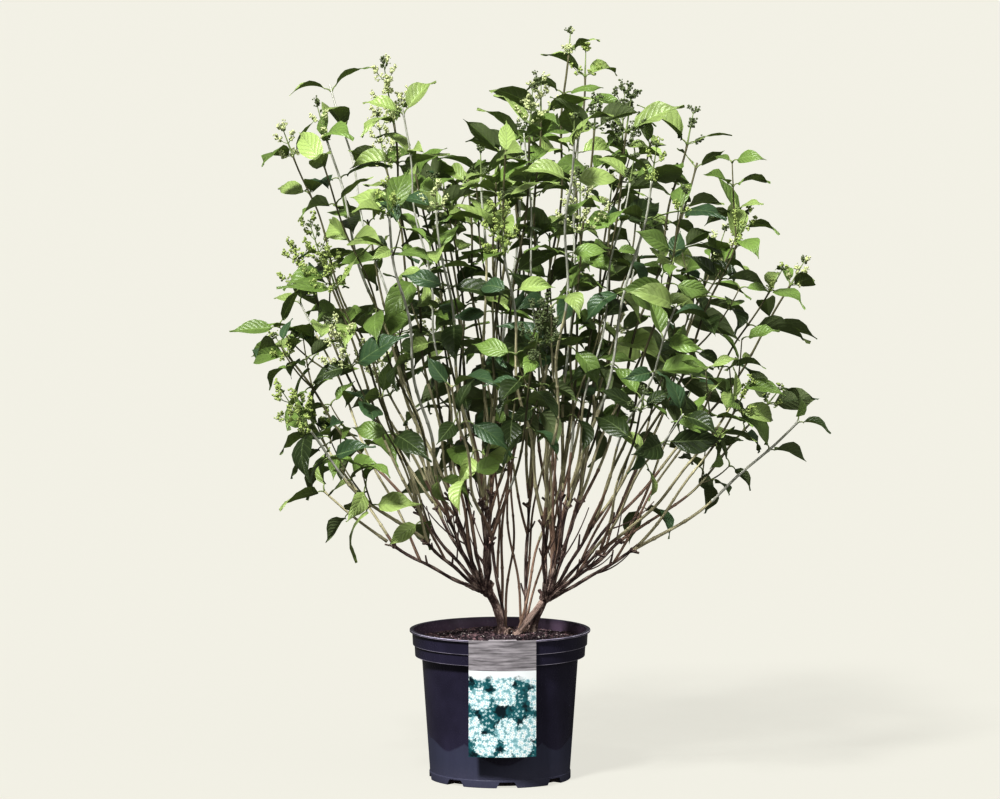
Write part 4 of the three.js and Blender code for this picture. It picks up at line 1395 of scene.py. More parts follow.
def make_pot(settings):
    edge = settings.rounding / MM
    collar = BODY_RADII[1] + COLLAR_STEP
    lip_foot = POT_HEIGHT - LIP_THICKNESS
    outside = [
        (6, 0, 0),
        (collar, 0, edge),
        (collar, COLLAR_HEIGHT, edge),
        (BODY_RADII[1], COLLAR_HEIGHT + COLLAR_STEP, edge),
        (BODY_RADII[0], LOWER_BAND_BOTTOM, 1.6),
        (LOWER_BAND_RADII[1], LOWER_BAND_BOTTOM, edge),
        (LOWER_BAND_RADII[0], UPPER_BAND_BOTTOM, edge),
        (UPPER_BAND_RADII[1], UPPER_BAND_BOTTOM, edge),
        (UPPER_BAND_RADII[0], lip_foot, edge),
        (LIP_RADIUS, lip_foot, edge),
        (LIP_RADIUS, POT_HEIGHT, edge),
        (UPPER_BAND_RADII[0] - POT_WALL, POT_HEIGHT, edge),
    ]
    profile = filleted(outside + inner_wall(0)[::-1] + [(6, POT_FLOOR, 0)])
    skin = Skin()
    turned(skin, profile, 144)
    pot = skin.build("pot_shell")
    cutters = Skin()
    for index in range(NOTCH_COUNT):
        notch_cutter(cutters, index)
    cutter = cutters.build("notch_cutters")
    cut = pot.modifiers.new("Drain notches", "BOOLEAN")
    cut.operation, cut.object, cut.solver = "DIFFERENCE", cutter, "EXACT"
    mesh = evaluated_mesh(pot)
    bpy.data.objects.remove(cutter)
    smooth_under(mesh, 32)
    mesh.materials.clear()
    mesh.materials.append(pot_plastic(settings))
    dressed(pot, ["pot"])


# Soil


def uneven(points, seed, scale):
    """A rough relief for each point, about -1 to 1."""
    shift = Vector((seed * 13.7, seed * 5.1, seed * 9.3))
    return np.array([noise.fractal(Vector(p) * scale + shift, 0.9, 2.1, 4) for p in points])


def make_soil(settings):
    gap = 0.3
    top_edge = UPPER_BAND_RADII[1] - POT_WALL - gap
    radii = np.linspace(top_edge, 2, 84)
    heights = np.interp(radii, (PLATEAU_RADIUS, top_edge), (SOIL_TOP_Z, SOIL_EDGE_Z))
    wall = [(radius, height) for radius, height, _ in inner_wall(gap)]
    profile = np.array([(6, POT_FLOOR + gap), *wall, *zip(radii, heights)])
    skin = Skin()
    turned(skin, profile, 180)
    soil = skin.build("soil_bed", [potting_mix(settings)])
    points = points_of(soil.data)
    top = points[:, 2] > (SOIL_EDGE_Z - 1) * MM
    radius = np.hypot(points[:, 0], points[:, 1])
    calm = np.clip((top_edge * MM - radius) / 0.006, 0.15, 1)
    lift = uneven(points[top], 2, 38.0) * 1.6 + uneven(points[top], 5, 190.0) * 1.1
    points[top, 2] += lift * calm[top] * MM
    move_points(soil.data, points)
    dressed(soil, ["soil"])
    scatter = (
        ("soil_crumbs_dark", shade(settings.mix_light, 0.8), 22000, 1.7, 0.5, 3),
        ("soil_chips_brown", settings.chips, 6500, 2.6, 0.3, 8),
        ("soil_flecks_pale", settings.flecks, 5200, 1.25, 0.6, 13),
    )
    for name, colour, density, size, slimness, seed in scatter:
        top_only = soil_top(soil.data, name)
        values = {
            "Density": density * settings.crumb_share,
            "Size": size * MM,
            "Slimness": slimness,
            "Seed": seed,
            "Finish": crumb_finish(name.replace("_", " ").capitalize(), colour, 0.35),
        }
        grown_by(top_only, crumb_tree(), values)
        dressed(top_only)


def soil_top(mesh, name):
    """The open top of the soil, for its crumbs to lie on."""
    top = mesh.copy()
    top.name = name
    work = bmesh.new()
    work.from_mesh(top)
    below = [face for face in work.faces if face.normal.z < 0.5 or face.calc_center_median().z < 0.2]
    bmesh.ops.delete(work, geom=below, context="FACES")
    work.to_mesh(top)
    work.free()
    return place(name, top)


# Label


def bent_card(skin, line, width, across, slots):
    """A card round the pot's axis. line is its side view as radius and height, with its face on the left."""
    line = np.asarray(line, float)
    along = np.gradient(line, axis=0)
    along /= np.linalg.norm(along, axis=1)[:, None]
    outwards = np.stack((-along[:, 1], along[:, 0]), axis=1)
    half = width / 2 / (LIP_RADIUS + LABEL_LIP_GAP + LABEL_THICKNESS)
    share = np.linspace(0, 1, across)
    angles = math.radians(-90 + LABEL_TURN_DEG) + (2 * share - 1) * half
    sides = []
    for thickness in (LABEL_THICKNESS / 2, -LABEL_THICKNESS / 2):
        radius, height = (line + outwards * thickness).T[..., None]
        x, y = radius * np.cos(angles), radius * np.sin(angles)
        sides.append(np.stack((x, y, height + 0 * angles), axis=-1))
    rows, count = len(line), len(line) * across
    back = grid_quads(rows, across) + count
    front = back[:, ::-1] - count
    rim = np.concatenate(
        (
            np.arange(across - 1),
            np.arange(across - 1, count - 1, across),
            np.arange(count - 1, count - across, -1),
            np.arange(count - across, 0, -across),
        )
    )
    ahead = np.roll(rim, -1)
    edge = np.stack((rim, ahead, ahead + count, rim + count), axis=1)
    skin.add(sides, (front, slots[0]), (back, slots[1]), (edge, slots[1]))
    return np.tile(np.stack(np.meshgrid(share, np.linspace(1, 0, rows)), axis=-1).reshape(-1, 2), (2, 1))


def grid_quads(rows, columns):
    k, i = np.meshgrid(np.arange(rows - 1), np.arange(columns - 1), indexing="ij")
    here = (k * columns + i).ravel()
    return np.stack((here, here + 1, here + columns + 1, here + columns), axis=1)


def make_label(settings):
    face = LIP_RADIUS + LABEL_LIP_GAP + LABEL_THICKNESS / 2
    fold = POT_HEIGHT + LABEL_LIP_GAP
    top = fold - 0.3
    heights = np.linspace(top, POT_HEIGHT - LABEL_DROP, 72)
    drop = (top - heights) / LABEL_DROP
    bow = settings.bow / MM * drop**2
    skin = Skin()
    card = bent_card(skin, np.stack((face + bow, heights), axis=1), LABEL_WIDTH, 36, (0, 1))
    inner = TAB_INNER_RADIUS + LABEL_THICKNESS / 2
    behind = face - 0.3
    corners = [(inner, TAB_BOTTOM_Z, 0), (inner, fold, 1.2), (behind, fold, 1.2), (behind, fold - 12, 0)]
    hook = filleted(corners)
    tab = bent_card(skin, hook, TAB_WIDTH, 14, (1, 1))
    label = skin.build("label_card", [label_print(settings), card_plastic(settings)])
    shares = np.concatenate((card, tab))
    layer = label.data.uv_layers.new(name="card")
    loops = np.empty(len(label.data.loops), np.int32)
    label.data.loops.foreach_get("vertex_index", loops)
    layer.data.foreach_set("uv", shares[loops].ravel().astype(np.float32))
    smooth_under(label.data, 40)
    dressed(label, ["label"])


# Bark


def flared(height, foot_radius, radius):
    share = np.clip(1 - height / FLARE_HEIGHT, 0, 1)
    return radius + (foot_radius - radius) * share**2


def stem_bend(stem, head):
    return Bend(from_soil(stem.foot) - Z_AXIS * FOOT_DEPTH, from_soil(stem.bend), head)


def stub_end(bend, length):
    return length / (2 * np.linalg.norm(bend.control - bend.start))


def add_stem(skin, spines, stem, head, seed):
    """One stem up to its head, with a few small roots that leave its flare and dip into the soil."""
    random = Stream(seed)
    bend = stem_bend(stem, head)
    points = bend.point(np.linspace(0, 1, 40))
    radii = flared(points[:, 2] - SOIL_TOP_Z, stem.foot_radius, stem.radius)
    tube(skin, points, radii, 28)
    spines.append((points, radii))
    foot = from_soil(stem.foot)
    for k in range(5):
        azimuth = 2 * math.pi * (k + random() * 0.7) / 5
        out = direction(math.pi / 2, azimuth)
        reach = stem.foot_radius * random.between(1.35, 1.9)
        start, middle = foot + Z_AXIS * 9 + out * 2, foot + out * reach * 0.75 + Z_AXIS * 4
        root = Bend(start, middle, foot + out * reach - Z_AXIS * 5)
        thick = stem.foot_radius * random.between(0.28, 0.42)
        tube(skin, root.point(np.linspace(0, 1, 9)), np.linspace(thick, thick * 0.5, 9), 12)


def add_head(skin, spines, stem, plans, seed):
    """The pruned lump at a stem's head, its boughs' first stretch, and a few cut stubs."""
    random = Stream(seed)
    head = from_soil(stem.head)
    lump(skin, head, np.array(stem.knob) * 0.92, seed)
    for k in range(5):
        away = direction(random.between(0.3, 1.9), random.between(0, 2 * math.pi))
        lump(skin, head + away * stem.knob[0] * 0.62, np.full(3, random.between(3.6, 5.4)), seed + 3 + k)
    for k in range(5):
        away = direction(random.between(0.15, 1.0), random.between(0, 2 * math.pi))
        reach = stem.knob[0] + random.between(3, 9)
        thick = random.between(2.3, 3.4)
        tube(skin, [head, head + away * reach * 0.6, head + away * reach], (thick * 1.15, thick, thick), 14)
    for plan in plans:
        points = plan.bend.point(np.linspace(0, stub_end(plan.bend, STUB_LENGTH + 6), 10))
        radii = np.linspace(BOUGH_RADIUS * 1.15, BOUGH_RADIUS * BOUGH_SLIMNESS, 10)
        tube(skin, points, radii, 16)
        spines.append((points, radii))


def spine_samples(spines):
    """Places on the stems' middle lines, with the directions round them and the run along them."""
    places, frames = [], []
    for number, (points, radii) in enumerate(spines):
        dense = np.linspace(0, len(points) - 1, 6 * len(points))
        base = np.arange(len(points))
        fine = np.stack([np.interp(dense, base, points[:, axis]) for axis in range(3)], axis=1)
        run = np.concatenate(([0], np.cumsum(np.linalg.norm(np.diff(fine, axis=0), axis=1))))
        _, u, v = transported(fine)
        places.append(fine)
        frames += [(number, u[k], v[k], run[k], r) for k, r in enumerate(np.interp(dense, base, radii))]
    return np.concatenate(places), frames


def carve_bark(mesh, spines, depth, seed):
    """Presses ridges, furrows and small knots into remeshed stems, along the limb that each point is on."""
    places, frames = spine_samples(spines)
    tree = kdtree.KDTree(len(places))
    for k, spot in enumerate(places):
        tree.insert(spot, k)
    tree.balance()
    points, normals = points_of(mesh), normals_of(mesh)
    reliefs = [ridges(seed + 11 * number, 1.0, count=5, lengthwise=0.006) for number in range(len(spines))]
    lift = np.empty(len(points))
    grain = np.empty((len(points), 3))
    for index, point in enumerate(points / MM):
        number, u, v, run, radius = frames[tree.find(point)[1]]
        away = point - places[tree.find(point)[1]]
        x, y = away.dot(u), away.dot(v)
        angle = math.atan2(y, x)
        lift[index] = reliefs[number](angle, run)
        grain[index] = (radius * math.cos(angle), radius * math.sin(angle), run)
    fine = uneven(points, seed, 330.0)
    move_points(mesh, points + normals * ((lift * 0.5 + fine * 0.5) * depth)[:, None])
    write_attribute(mesh, "grain", grain * MM)
    write_attribute(mesh, "ridge", ridge_share(lift * 0.6 + fine * 0.6))


def plant(context):
    """The shrub as the leaf and cane settings grow it."""
    leaf, cane = context.scene.hydrangea_leaves, context.scene.hydrangea_canes
    sizes = (leaf.pair_spacing, leaf.length, leaf.width, cane.sway)
    spacing, length, width, sway = (round(size / MM, 3) for size in sizes)
    return grown(spacing, length, width, round(cane.shoot_share, 3), sway)


def make_stems(settings, shrub):
    skin, spines = Skin(), []
    head_of = {"left": from_soil(LEFT_STEM.head), "right": from_soil(RIGHT_STEM.head)}
    add_stem(skin, spines, LEFT_STEM, head_of["left"], 3)
    add_stem(skin, spines, RIGHT_STEM, head_of["right"], 5)
    for stem, seed in ((LEFT_STEM, 21), (RIGHT_STEM, 34)):
        add_head(skin, spines, stem, [p for p in shrub.plans if not p.own_stem and p.stem is stem], seed)
    carved_stems("stems_bark", skin, spines, settings, settings.old_bark, ["stem_left", "stem_right"])
    skin, spines = Skin(), []
    add_stem(skin, spines, CROSS_STEM, head_of["right"], 9)
    carved_stems("cross_stem_bark", skin, spines, settings, settings.cross_bark, ["stem_cross"])


def carved_stems(name, skin, spines, settings, colours, nodes):
    piece = skin.build(name)
    melt = piece.modifiers.new("Grown together", "REMESH")
    melt.mode, melt.voxel_size = "VOXEL", settings.fineness
    soften = piece.modifiers.new("Softened", "SMOOTH")
    soften.iterations, soften.factor = 4, 0.5
    mesh = evaluated_mesh(piece)
    carve_bark(mesh, spines, settings.relief, 4)
    mesh.shade_smooth()
    mesh.materials.clear()
    tones = [colours_of(settings, colours, share) for share in range(3)]
    mesh.materials.append(bark_finish(name.replace("_", " ").capitalize(), tones))
    dressed(piece, nodes)


def colours_of(settings, middle, step):
    """A furrow's, a plain or a ridge's colour of a bark, the furrow's darkened as painted shade and the
    ridge's given as a painted highlight.
    """
    return (shade(middle, 0.28), shade(middle), tuple(settings.ridge))[step]


def make_boughs(settings, shrub):
    """Each bough, from just inside its stub to its pruned knuckle with the snags left on it."""
    skin = Skin()
    for plan in shrub.plans:
        random = Stream(SEED + 101 * plan.index)
        bend, end = plan.bend, plan.knuckle_at
        start = 0 if plan.own_stem else stub_end(bend, STUB_LENGTH - 2)
        share = np.linspace(0, 1, int(KNUCKLE_DISTANCE / 2.4))
        u, v = side_directions(bend.along(end / 2))
        kink = np.sin(share * math.pi) * settings.kink / MM
        turn = random.between(0, 6.3)
        waver = np.sin(share * 7 + turn)[:, None] * u + np.cos(share * 5 + turn)[:, None] * v
        points = bend.point(lerp(start, end, share)) + kink[:, None] * waver
        uneven_by = 1 + 0.06 * np.sin(share * 19 + turn)
        radii = lerp(BOUGH_RADIUS, KNUCKLE_RADIUS, share) * uneven_by * BOUGH_SLIMNESS
        radii = radii * (1 + 0.22 * np.clip((share - 0.94) / 0.06, 0, 1))
        if plan.own_stem:
            radii = np.maximum(radii, flared(points[:, 2] - SOIL_TOP_Z, CORE_FOOT_RADIUS * 1.25, 0))
        tube(skin, points, radii, 16, ridges(plan.index + 60, 0.11, count=6, lengthwise=0.02))
        add_knuckle(skin, points[-1], bend.along(end), random, plan.index)
        add_spurs(skin, points, random)
    tones = [colours_of(settings, settings.old_bark, step) for step in range(3)]
    piece = skin.build("boughs_bark", [bark_finish("Bough bark", tones)])
    nodes = [("stem_" if plan.own_stem else "bough_") + plan.name for plan in shrub.plans]
    dressed(piece, nodes)


def add_knuckle(skin, centre, along, random, seed):
    """The swollen end of a bough, with two or three dead snags from old cuts."""
    u, v = side_directions(along)
    size = KNUCKLE_RADIUS * BOUGH_SLIMNESS * np.array((1.5, 1.5, 1.9))
    lump(skin, centre + along * 1.5, size, seed + 200)
    for _ in range(2 + int(random() * 3)):
        angle, open_angle = random.between(0, 2 * math.pi), random.between(0.35, 1.2)
        away = swung(along, swung(u, v, angle), open_angle)
        reach, thick = random.between(7, 17), random.between(1.5, 2.5)
        line = [centre, centre + away * reach * 0.5, centre + away * reach]
        tube(skin, line, (thick * 1.3, thick, thick * 0.9), 9, ridges(seed + 300, 0.1))


def add_spurs(skin, points, random):
    """Thin dead twigs and short spurs that leave a bough on its way up."""
    for _ in range(1 + int(random() * 3)):
        k = int(lerp(0.2, 0.95, random()) * (len(points) - 2))
        along = unit(points[k + 1] - points[k])
        u, v = side_directions(along)
        angle, open_angle = random.between(0, 2 * math.pi), random.between(0.4, 0.9)
        away = swung(along, swung(u, v, angle), open_angle)
        reach = random.between(8, 22) if random() < 0.5 else random.between(35, 80)
        twig = Bend(points[k], points[k] + away * reach * 0.6, points[k] + (away + 0.4 * Z_AXIS) * reach)
        thick = 1.9 if reach < 25 else 1.25
        tube(skin, twig.point(np.linspace(0, 1, 8)), np.linspace(thick, thick * 0.6, 8), 6)


# Canes


def cane_points(cane, end):
    """Where a cane's rings lie: evenly, and closer round its nodes."""
    step = 9 / cane.length
    near = np.array([-3.2, -1.4, 0, 1.4, 3.2]) / cane.length
    nodes = [t + near for t in cane.nodes if t < end - 0.01]
    places = np.concatenate([np.arange(0, end, step), *nodes, [end]])
    places = np.unique(np.round(np.clip(places, 0, end), 5))
    keep = np.concatenate(([True], np.diff(places) > 0.8 / cane.length))
    return places[keep]


def make_canes(settings, shrub):
    """The canes and their side shoots, brown and woody below and paler above. Only canes in front and near
    the middle turn pale green, as if lit. The rest and the shoots get a dark tone of painted shade.
    """
    skin = Skin()
    for number, cane in enumerate(shrub.canes):
        random = Stream(SEED + 7 * number + 500)
        end = cane.last_pair if cane.blooms else 1
        places = cane_points(cane, end)
        points = cane.line(places)
        from_node = np.min([np.abs(places - t) for t in cane.nodes], axis=0) * cane.length
        swell = 1 + settings.node_swell * np.exp(-((from_node / 2.2) ** 2))
        radii = lerp(CANE_RADIUS, CANE_TIP_RADIUS, places**0.5) * swell * settings.thickness * cane.thickness
        away = np.linalg.norm(points - APEX, axis=1)
        # Painted light and shade: a cane in front and near the middle is pale, as if lit. One behind or at
        # the sides gets the dark shaded tone above and stays brown further up.
        middle = cane.bend.point(0.5)
        pale_share = np.interp(middle[1], PALE_CANE_DEPTHS, PALE_CANE_SHARES)
        pale = random() < pale_share * np.interp(abs(middle[0] - APEX_X), PALE_CANE_SIDES, (1, 0.4))
        old = settings.woody_to / MM + random.spread(90) + (0 if pale else SHADED_BROWN_LONGER_BY)
        green = settings.green_from / MM + (random.between(-60, 300) if pale else random.between(-80, 50))
        slots = (away > old).astype(int) + (away > green) * (1 if pale else 2)
        radii = radii * (PALE_CANE_THICKNESS if pale else 1)
        tube(skin, points, radii, 7, ridges(number + 900, 0.035), slot=slots)
    # The side shoots all get the dark shaded tone, as painted shade.
    for number, shoot in enumerate(shrub.shoots):
        points = shoot.bend.point(np.linspace(0, 1, 9))
        tube(skin, points, np.linspace(SHOOT_RADIUS, SHOOT_TIP_RADIUS, 9), 5, slot=3)
    tones = (
        ("Woody cane", settings.woody, 0.45),
        ("Ripening cane", settings.ripening, 0.3),
        ("Green cane", settings.green, 0.12),
        ("Shaded cane", settings.shaded, 0.2),
    )
    materials = [
        cane_finish(name, shade(tone, 0.36), shade(tone, 1.45), fleck) for name, tone, fleck in tones
    ]
    piece = skin.build("canes", materials)
    dressed(piece, ["mass_" + plan.name for plan in shrub.plans])


# Leaves


def leaf_outline(share):
    """A leaf's half width along its length: round at the foot, drawn out to a point."""
    share = np.clip(share, 0, 1)
    return np.clip(np.sin(math.pi * share**0.78), 0, 1) ** (0.75 + 1.5 * share**1.5) + 0.02


def leaf_blades(leaves, rows, random):
    """All blades at once, each row of six points from edge to edge: n leaves, rows, six, xyz."""
    count = len(leaves)
    root, along, up, length, width = (
        np.array([getattr(leaf, key) for leaf in leaves])[:, None, None]
        for key in ("foot", "along", "up", "length", "width")
    )
    left = np.cross(up, along)

    def dealt(low, high):
        return random.uniform(low, high, (count, 1, 1))

    share = np.linspace(0, 1, rows)[None, :, None]
    column = np.array(LEAF_COLUMNS)[None, None]
    out = np.abs(column)
    is_rib = out < 0.1
    forward = share + 0.11 * out * np.sin(math.pi * share)
    half = leaf_outline(forward) * width / 2
    rib = np.minimum(lerp(0.95, 0.3, share), half * 0.2)
    tooth = 1 + 0.014 * np.where(np.arange(rows) % 2, 1, -1)[None, :, None] * (out > 0.9)
    y = np.where(is_rib, np.sign(column) * rib, column * half * tooth)
    pleat = np.where(np.arange(rows) % 2, 1, -1)[None, :, None] * np.sin(math.pi * share)
    z = np.abs(y) * np.tan(dealt(*BLADE_FOLDS)) - out**3 * width * dealt(*BLADE_CURLS)
    z = z + np.where(is_rib, -0.35, pleat * 0.006 * length * (1.15 - 0.55 * out))
    depth, waves, first = dealt(*BLADE_WAVES), dealt(*BLADE_WAVE_COUNTS), dealt(0, 1)
    z = z + width * depth * out**2 * np.sin(2 * math.pi * (waves * share + first) + column)
    twist = dealt(*BLADE_TWISTS) * share**1.4
    y, z = y * np.cos(twist) - z * np.sin(twist), y * np.sin(twist) + z * np.cos(twist)
    y = y + dealt(*BLADE_SWINGS) * length * share**2
    droop = dealt(*BLADE_DROOPS) * forward
    arc = dealt(*BLADE_STRETCHES) * length / np.maximum(droop, 1e-3) * forward
    x = arc * np.sin(droop) + z * np.sin(droop)
    lift = -arc * (1 - np.cos(droop)) + z * np.cos(droop)
    return root + along * x[..., None] + left * y[..., None] + up * lift[..., None]


def dealt_by_tone(leaves, shares, random):
    """The leaves in groups from the deepest green to the palest, by place, cane and chance. Leaves far out
    and low leaves in front rank as lit, so the tones are partly painted light and painted shade.
    """
    roots = np.array([leaf.root for leaf in leaves])
    reach = np.linalg.norm(roots - APEX, axis=1)
    light = np.where((roots[:, 2] < LOW_LEAVES_BELOW) & (roots[:, 1] < 0), 1, reach / reach.max())
    by_cane = random.random(max(leaf.line for leaf in leaves) + 1)
    cane = np.array([by_cane[leaf.line] for leaf in leaves])
    rank = np.argsort(np.argsort(light + 0.45 * cane + 0.5 * random.random(len(leaves))))
    group = np.searchsorted(np.cumsum(shares[:-1]), (rank + 0.5) / len(leaves))
    return [[leaf for leaf, own in zip(leaves, group) if own == number] for number in range(len(shares))]


def make_leaves(settings, shrub):
    """The blades, in one piece to a tone, each with a paler rib."""
    rows, columns = LEAF_ROWS, len(LEAF_COLUMNS)
    along, across = np.meshgrid(np.linspace(0, 1, rows), LEAF_COLUMNS, indexing="ij")
    grid = np.column_stack((along.ravel(), across.ravel()))
    quads = grid_quads(rows, columns)[:, ::-1]
    rib_faces = np.where(np.arange(len(quads)) % (columns - 1) == 2, RIB_SLOT, 0)
    # Tones from shaded to sunlit: the deeper ones are painted shade on leaves inside the crown, and the paler
    # ones painted light on leaves far out and low in front.
    tones = (
        ("leaves_deep", settings.deep, 0.22),
        ("leaves_cool", settings.cool, 0.13),
        ("leaves_mid", settings.mid, 0.4),
        ("leaves_fresh", settings.fresh, 0.25),
    )
    random = np.random.default_rng(SEED)
    for leaf in shrub.leaves:
        leaf.foot = leaf.root + leaf.along * PETIOLE_LENGTH
    groups = dealt_by_tone(shrub.leaves, [share for *_, share in tones], random)
    masses = ["mass_" + plan.name for plan in shrub.plans]
    for (name, tone, _), leaves in zip(tones, groups):
        blades = leaf_blades(leaves, rows, random)
        skin = Skin()
        for blade in blades:
            own_tone = np.full(len(grid), random.random())
            skin.add(blade, (quads, rib_faces), grain=np.column_stack((grid, own_tone)) / MM)
        title = name.replace("_", " ").capitalize()
        blade_finish = leaf_finish(title, tone, settings)
        rib = lerp(np.array(tone[:3]), np.array(settings.rib[:3]), RIB_PALENESS)
        piece = skin.build(name, [blade_finish, fleshy_finish(title + " ribs", rib)])
        dressed(piece, masses)
    stalks = Skin()
    for leaf in shrub.leaves:
        knee = leaf.root + (leaf.cane_along + leaf.along) * PETIOLE_LENGTH * 0.35
        line = Bend(leaf.root, knee, leaf.foot + leaf.along).point(np.linspace(0, 1, 4))
        tube(stalks, line, (1.5, 1.2, 1.0, 0.9), 4)
    dressed(stalks.build("leaf_stalks", [fleshy_finish("Leaf stalk", settings.stalk)]))


# Panicles


def branch_pairs(cane, width, pairs):
    """A panicle's side branches in opposite pairs, long and open below, short and steep above."""
    share = np.linspace(*BRANCH_PLACES, pairs)
    for k, s in enumerate(share):
        t = lerp(cane.last_pair, 1, s)
        along = cane.bend.along(t)
        u, v = side_directions(along)
        length = width / 2 * lerp(*BRANCH_LENGTHS, s)
        for opposite in (0, math.pi):
            yield s, cane.line(t), along, u, v, cane.first_pair + k * math.pi / 2 + opposite, length


def budding_twig(skin, buds, bend, reach, radius, random):
    """A flower twig with short stalks in pairs, and a clump of buds on each."""
    tube(skin, bend.point(np.linspace(0, 1, 4)), (radius, radius * 0.8, radius * 0.65, radius * 0.5), 4)
    u, v = side_directions(bend.along(1))
    add_buds(buds, bend.point(1.0), bend.along(1), CLUMP_RADIUS, random)
    for k in range(1, 1 + int(reach / CLUMP_SPACING)):
        at = 1 - k * CLUMP_SPACING / reach
        for side in (0, math.pi):
            angle = side + k * math.pi / 2 + random.spread(0.5)
            aside = swung(u, v, angle) * 0.9
            start = bend.point(at)
            tip = start + unit(bend.along(at) + aside) * random.between(*BUD_STALK_LENGTHS)
            tube(skin, (start, (start + tip) / 2, tip), (radius * 0.6, radius * 0.5, radius * 0.45), 3)
            add_buds(buds, tip, bend.along(at), CLUMP_RADIUS * 0.75, random)


def add_buds(buds, tip, along, clump_radius, random):
    """A round clump of buds, denser the larger it is."""
    for _ in range(int(clump_radius * random.between(*BUDS_PER_RADIUS))):
        out = direction(math.acos(random.between(-1, 1)), random.between(0, 2 * math.pi))
        spot = tip + (out + along * 0.35) * clump_radius * random.between(0.35, 1)
        buds.append((spot, random.between(*BUD_SIZES)))


def make_panicles(settings, shrub):
    """Panicles still in bud at the canes' tips: stalks in one piece, buds in one piece to a tone."""
    skin = Skin()
    tones = (
        ("panicle_buds_cream", settings.cream),
        ("panicle_buds_lime", settings.lime),
        ("panicle_buds_dim", settings.dim),
    )
    buds = [[] for _ in tones]
    for number, cane in enumerate(shrub.canes):
        if not cane.blooms:
            continue
        random = Stream(SEED * PANICLE_SEED_STEP + number)
        # Painted shade: panicles further right get the darker bud tones more often, as the crown's right side
        # lies in shade.
        shade_to_the_right = np.interp(cane.bend.end[0], PANICLE_SIDES, (-0.2, 0.25))
        tone = int(np.searchsorted(PANICLE_TONE_SHARES, random() + shade_to_the_right))
        width = settings.width / MM * random.between(*PANICLE_WIDTHS) * cane.fullness
        pairs = max(2, round(settings.branch_pairs * cane.fullness))
        places = np.linspace(cane.last_pair, 1, 10)
        tube(skin, cane.line(places), np.linspace(CANE_TIP_RADIUS * 0.8, 0.6, 10), 6)
        for s, start, along, u, v, angle, length in branch_pairs(cane, width, pairs):
            open_angle = math.radians(lerp(*BRANCH_ANGLES_DEG, s) + random.spread(8))
            angle += random.spread(0.35)
            away = swung(along, swung(u, v, angle), open_angle)
            reach = length * random.between(*BRANCH_REACHES)
            twig = Bend(start, start + away * reach * 0.55, start + unit(away + along * 0.35) * reach)
            own = CLOSED_TONE if random() < np.interp(s, CLOSED_BUDS_FROM, (0, 1)) else tone
            budding_twig(skin, buds[own], twig, reach, 0.75, random)
        add_buds(buds[CLOSED_TONE], cane.line(1.0), cane.bend.along(1), CLUMP_RADIUS, random)
    dressed(skin.build("panicle_stalks", [fleshy_finish("Panicle stalk", settings.stalk)]))
    for (name, tone), spots in zip(tones, buds):
        points = bpy.data.meshes.new(name)
        points.vertices.add(len(spots))
        move_points(points, np.array([spot for spot, _ in spots]) * MM)
        write_attribute(points, "size", np.array([size for _, size in spots]))
        piece = place(name, points)
        colour = fleshy_finish(name.replace("_", " ").capitalize(), tone, 0.55)
        values = {"Radius": settings.bud, "Length Share": 1.2, "Seed": 3, "Finish": colour}
        grown_by(piece, bud_tree(), values)
        dressed(piece)


# Stage


def make_stage(settings):
    sides = 96
    angles = 2 * math.pi * np.arange(sides) / sides
    radii = np.array((60, 20, 6, 2, 0.6)) * settings.floor_share / MM
    rings = [np.stack((r * np.cos(angles), r * np.sin(angles), 0 * angles), axis=1) for r in radii]
    skin = Skin()
    middle = (len(radii) - 1) * sides + np.arange(sides)[None]
    skin.add(rings, (quads_between(len(radii), sides), 0), (middle, 0))
    matt = stage_finish("Studio floor", settings.floor, 0.9, settings.floor_glow)
    floor = skin.build("studio_floor", [matt])

    scene = bpy.context.scene
    scene.view_settings.view_transform = "Standard"
    scene.view_settings.gamma = settings.contrast
    world = bpy.data.worlds.new("Studio light")
    world.use_nodes = True
    sky = world.node_tree.nodes["Background"]
    sky.inputs["Color"].default_value = shade(settings.sky)
    sky.inputs["Strength"].default_value = settings.sky_strength
    scene.world = world

    sun = add_light("Key light", settings.sun_strength, settings.sun_softness)
    sun.rotation_euler = aimed(settings.sun_height, settings.sun_side)
    fill = add_light("Fill light", settings.fill_strength, math.radians(60))
    fill.rotation_euler = aimed(math.radians(20), math.radians(40))

    camera_data = bpy.data.cameras.new("Front camera")
    camera_data.sensor_width, camera_data.lens = 36, settings.lens
    camera_data.sensor_fit = "HORIZONTAL"
    camera_data.clip_end = 200
    camera = bpy.data.objects.new("front_camera", camera_data)
    scene.collection.objects.link(camera)
    target = Vector((0, 0, settings.aim_height))
    tilt = settings.camera_height
    camera.location = target + settings.distance * Vector((0, -math.cos(tilt), math.sin(tilt)))
    camera.rotation_euler = (target - camera.location).to_track_quat("-Z", "Y").to_euler()
    scene.camera = camera


def add_light(name, strength, softness):
    data = bpy.data.lights.new(name, "SUN")
    data.energy, data.angle = strength, softness
    light = bpy.data.objects.new(name.lower().replace(" ", "_"), data)
    bpy.context.scene.collection.objects.link(light)
    return light


def aimed(height, side):
    """The turn of a light that shines down from a height, and from a side of straight in front."""
    flat = math.cos(height)
    from_where = Vector((math.sin(side) * flat, -math.cos(side) * flat, math.sin(height)))
    return (-from_where).to_track_quat("-Z", "Y").to_euler()


# Settings


def metres(name, description, default, low=0.0, high=10.0):
    return amount(name, description, default, low, high, precision=4, unit="LENGTH")


def amount(name, description, default, low=0.0, high=100.0, **kind):
    return FloatProperty(name=name, description=description, default=default, min=low, max=high, **kind)


def degrees_turned(name, description, degrees):
    kind = {"subtype": "ANGLE", "unit": "ROTATION"}
    return FloatProperty(name=name, description=description, default=math.radians(degrees), **kind)


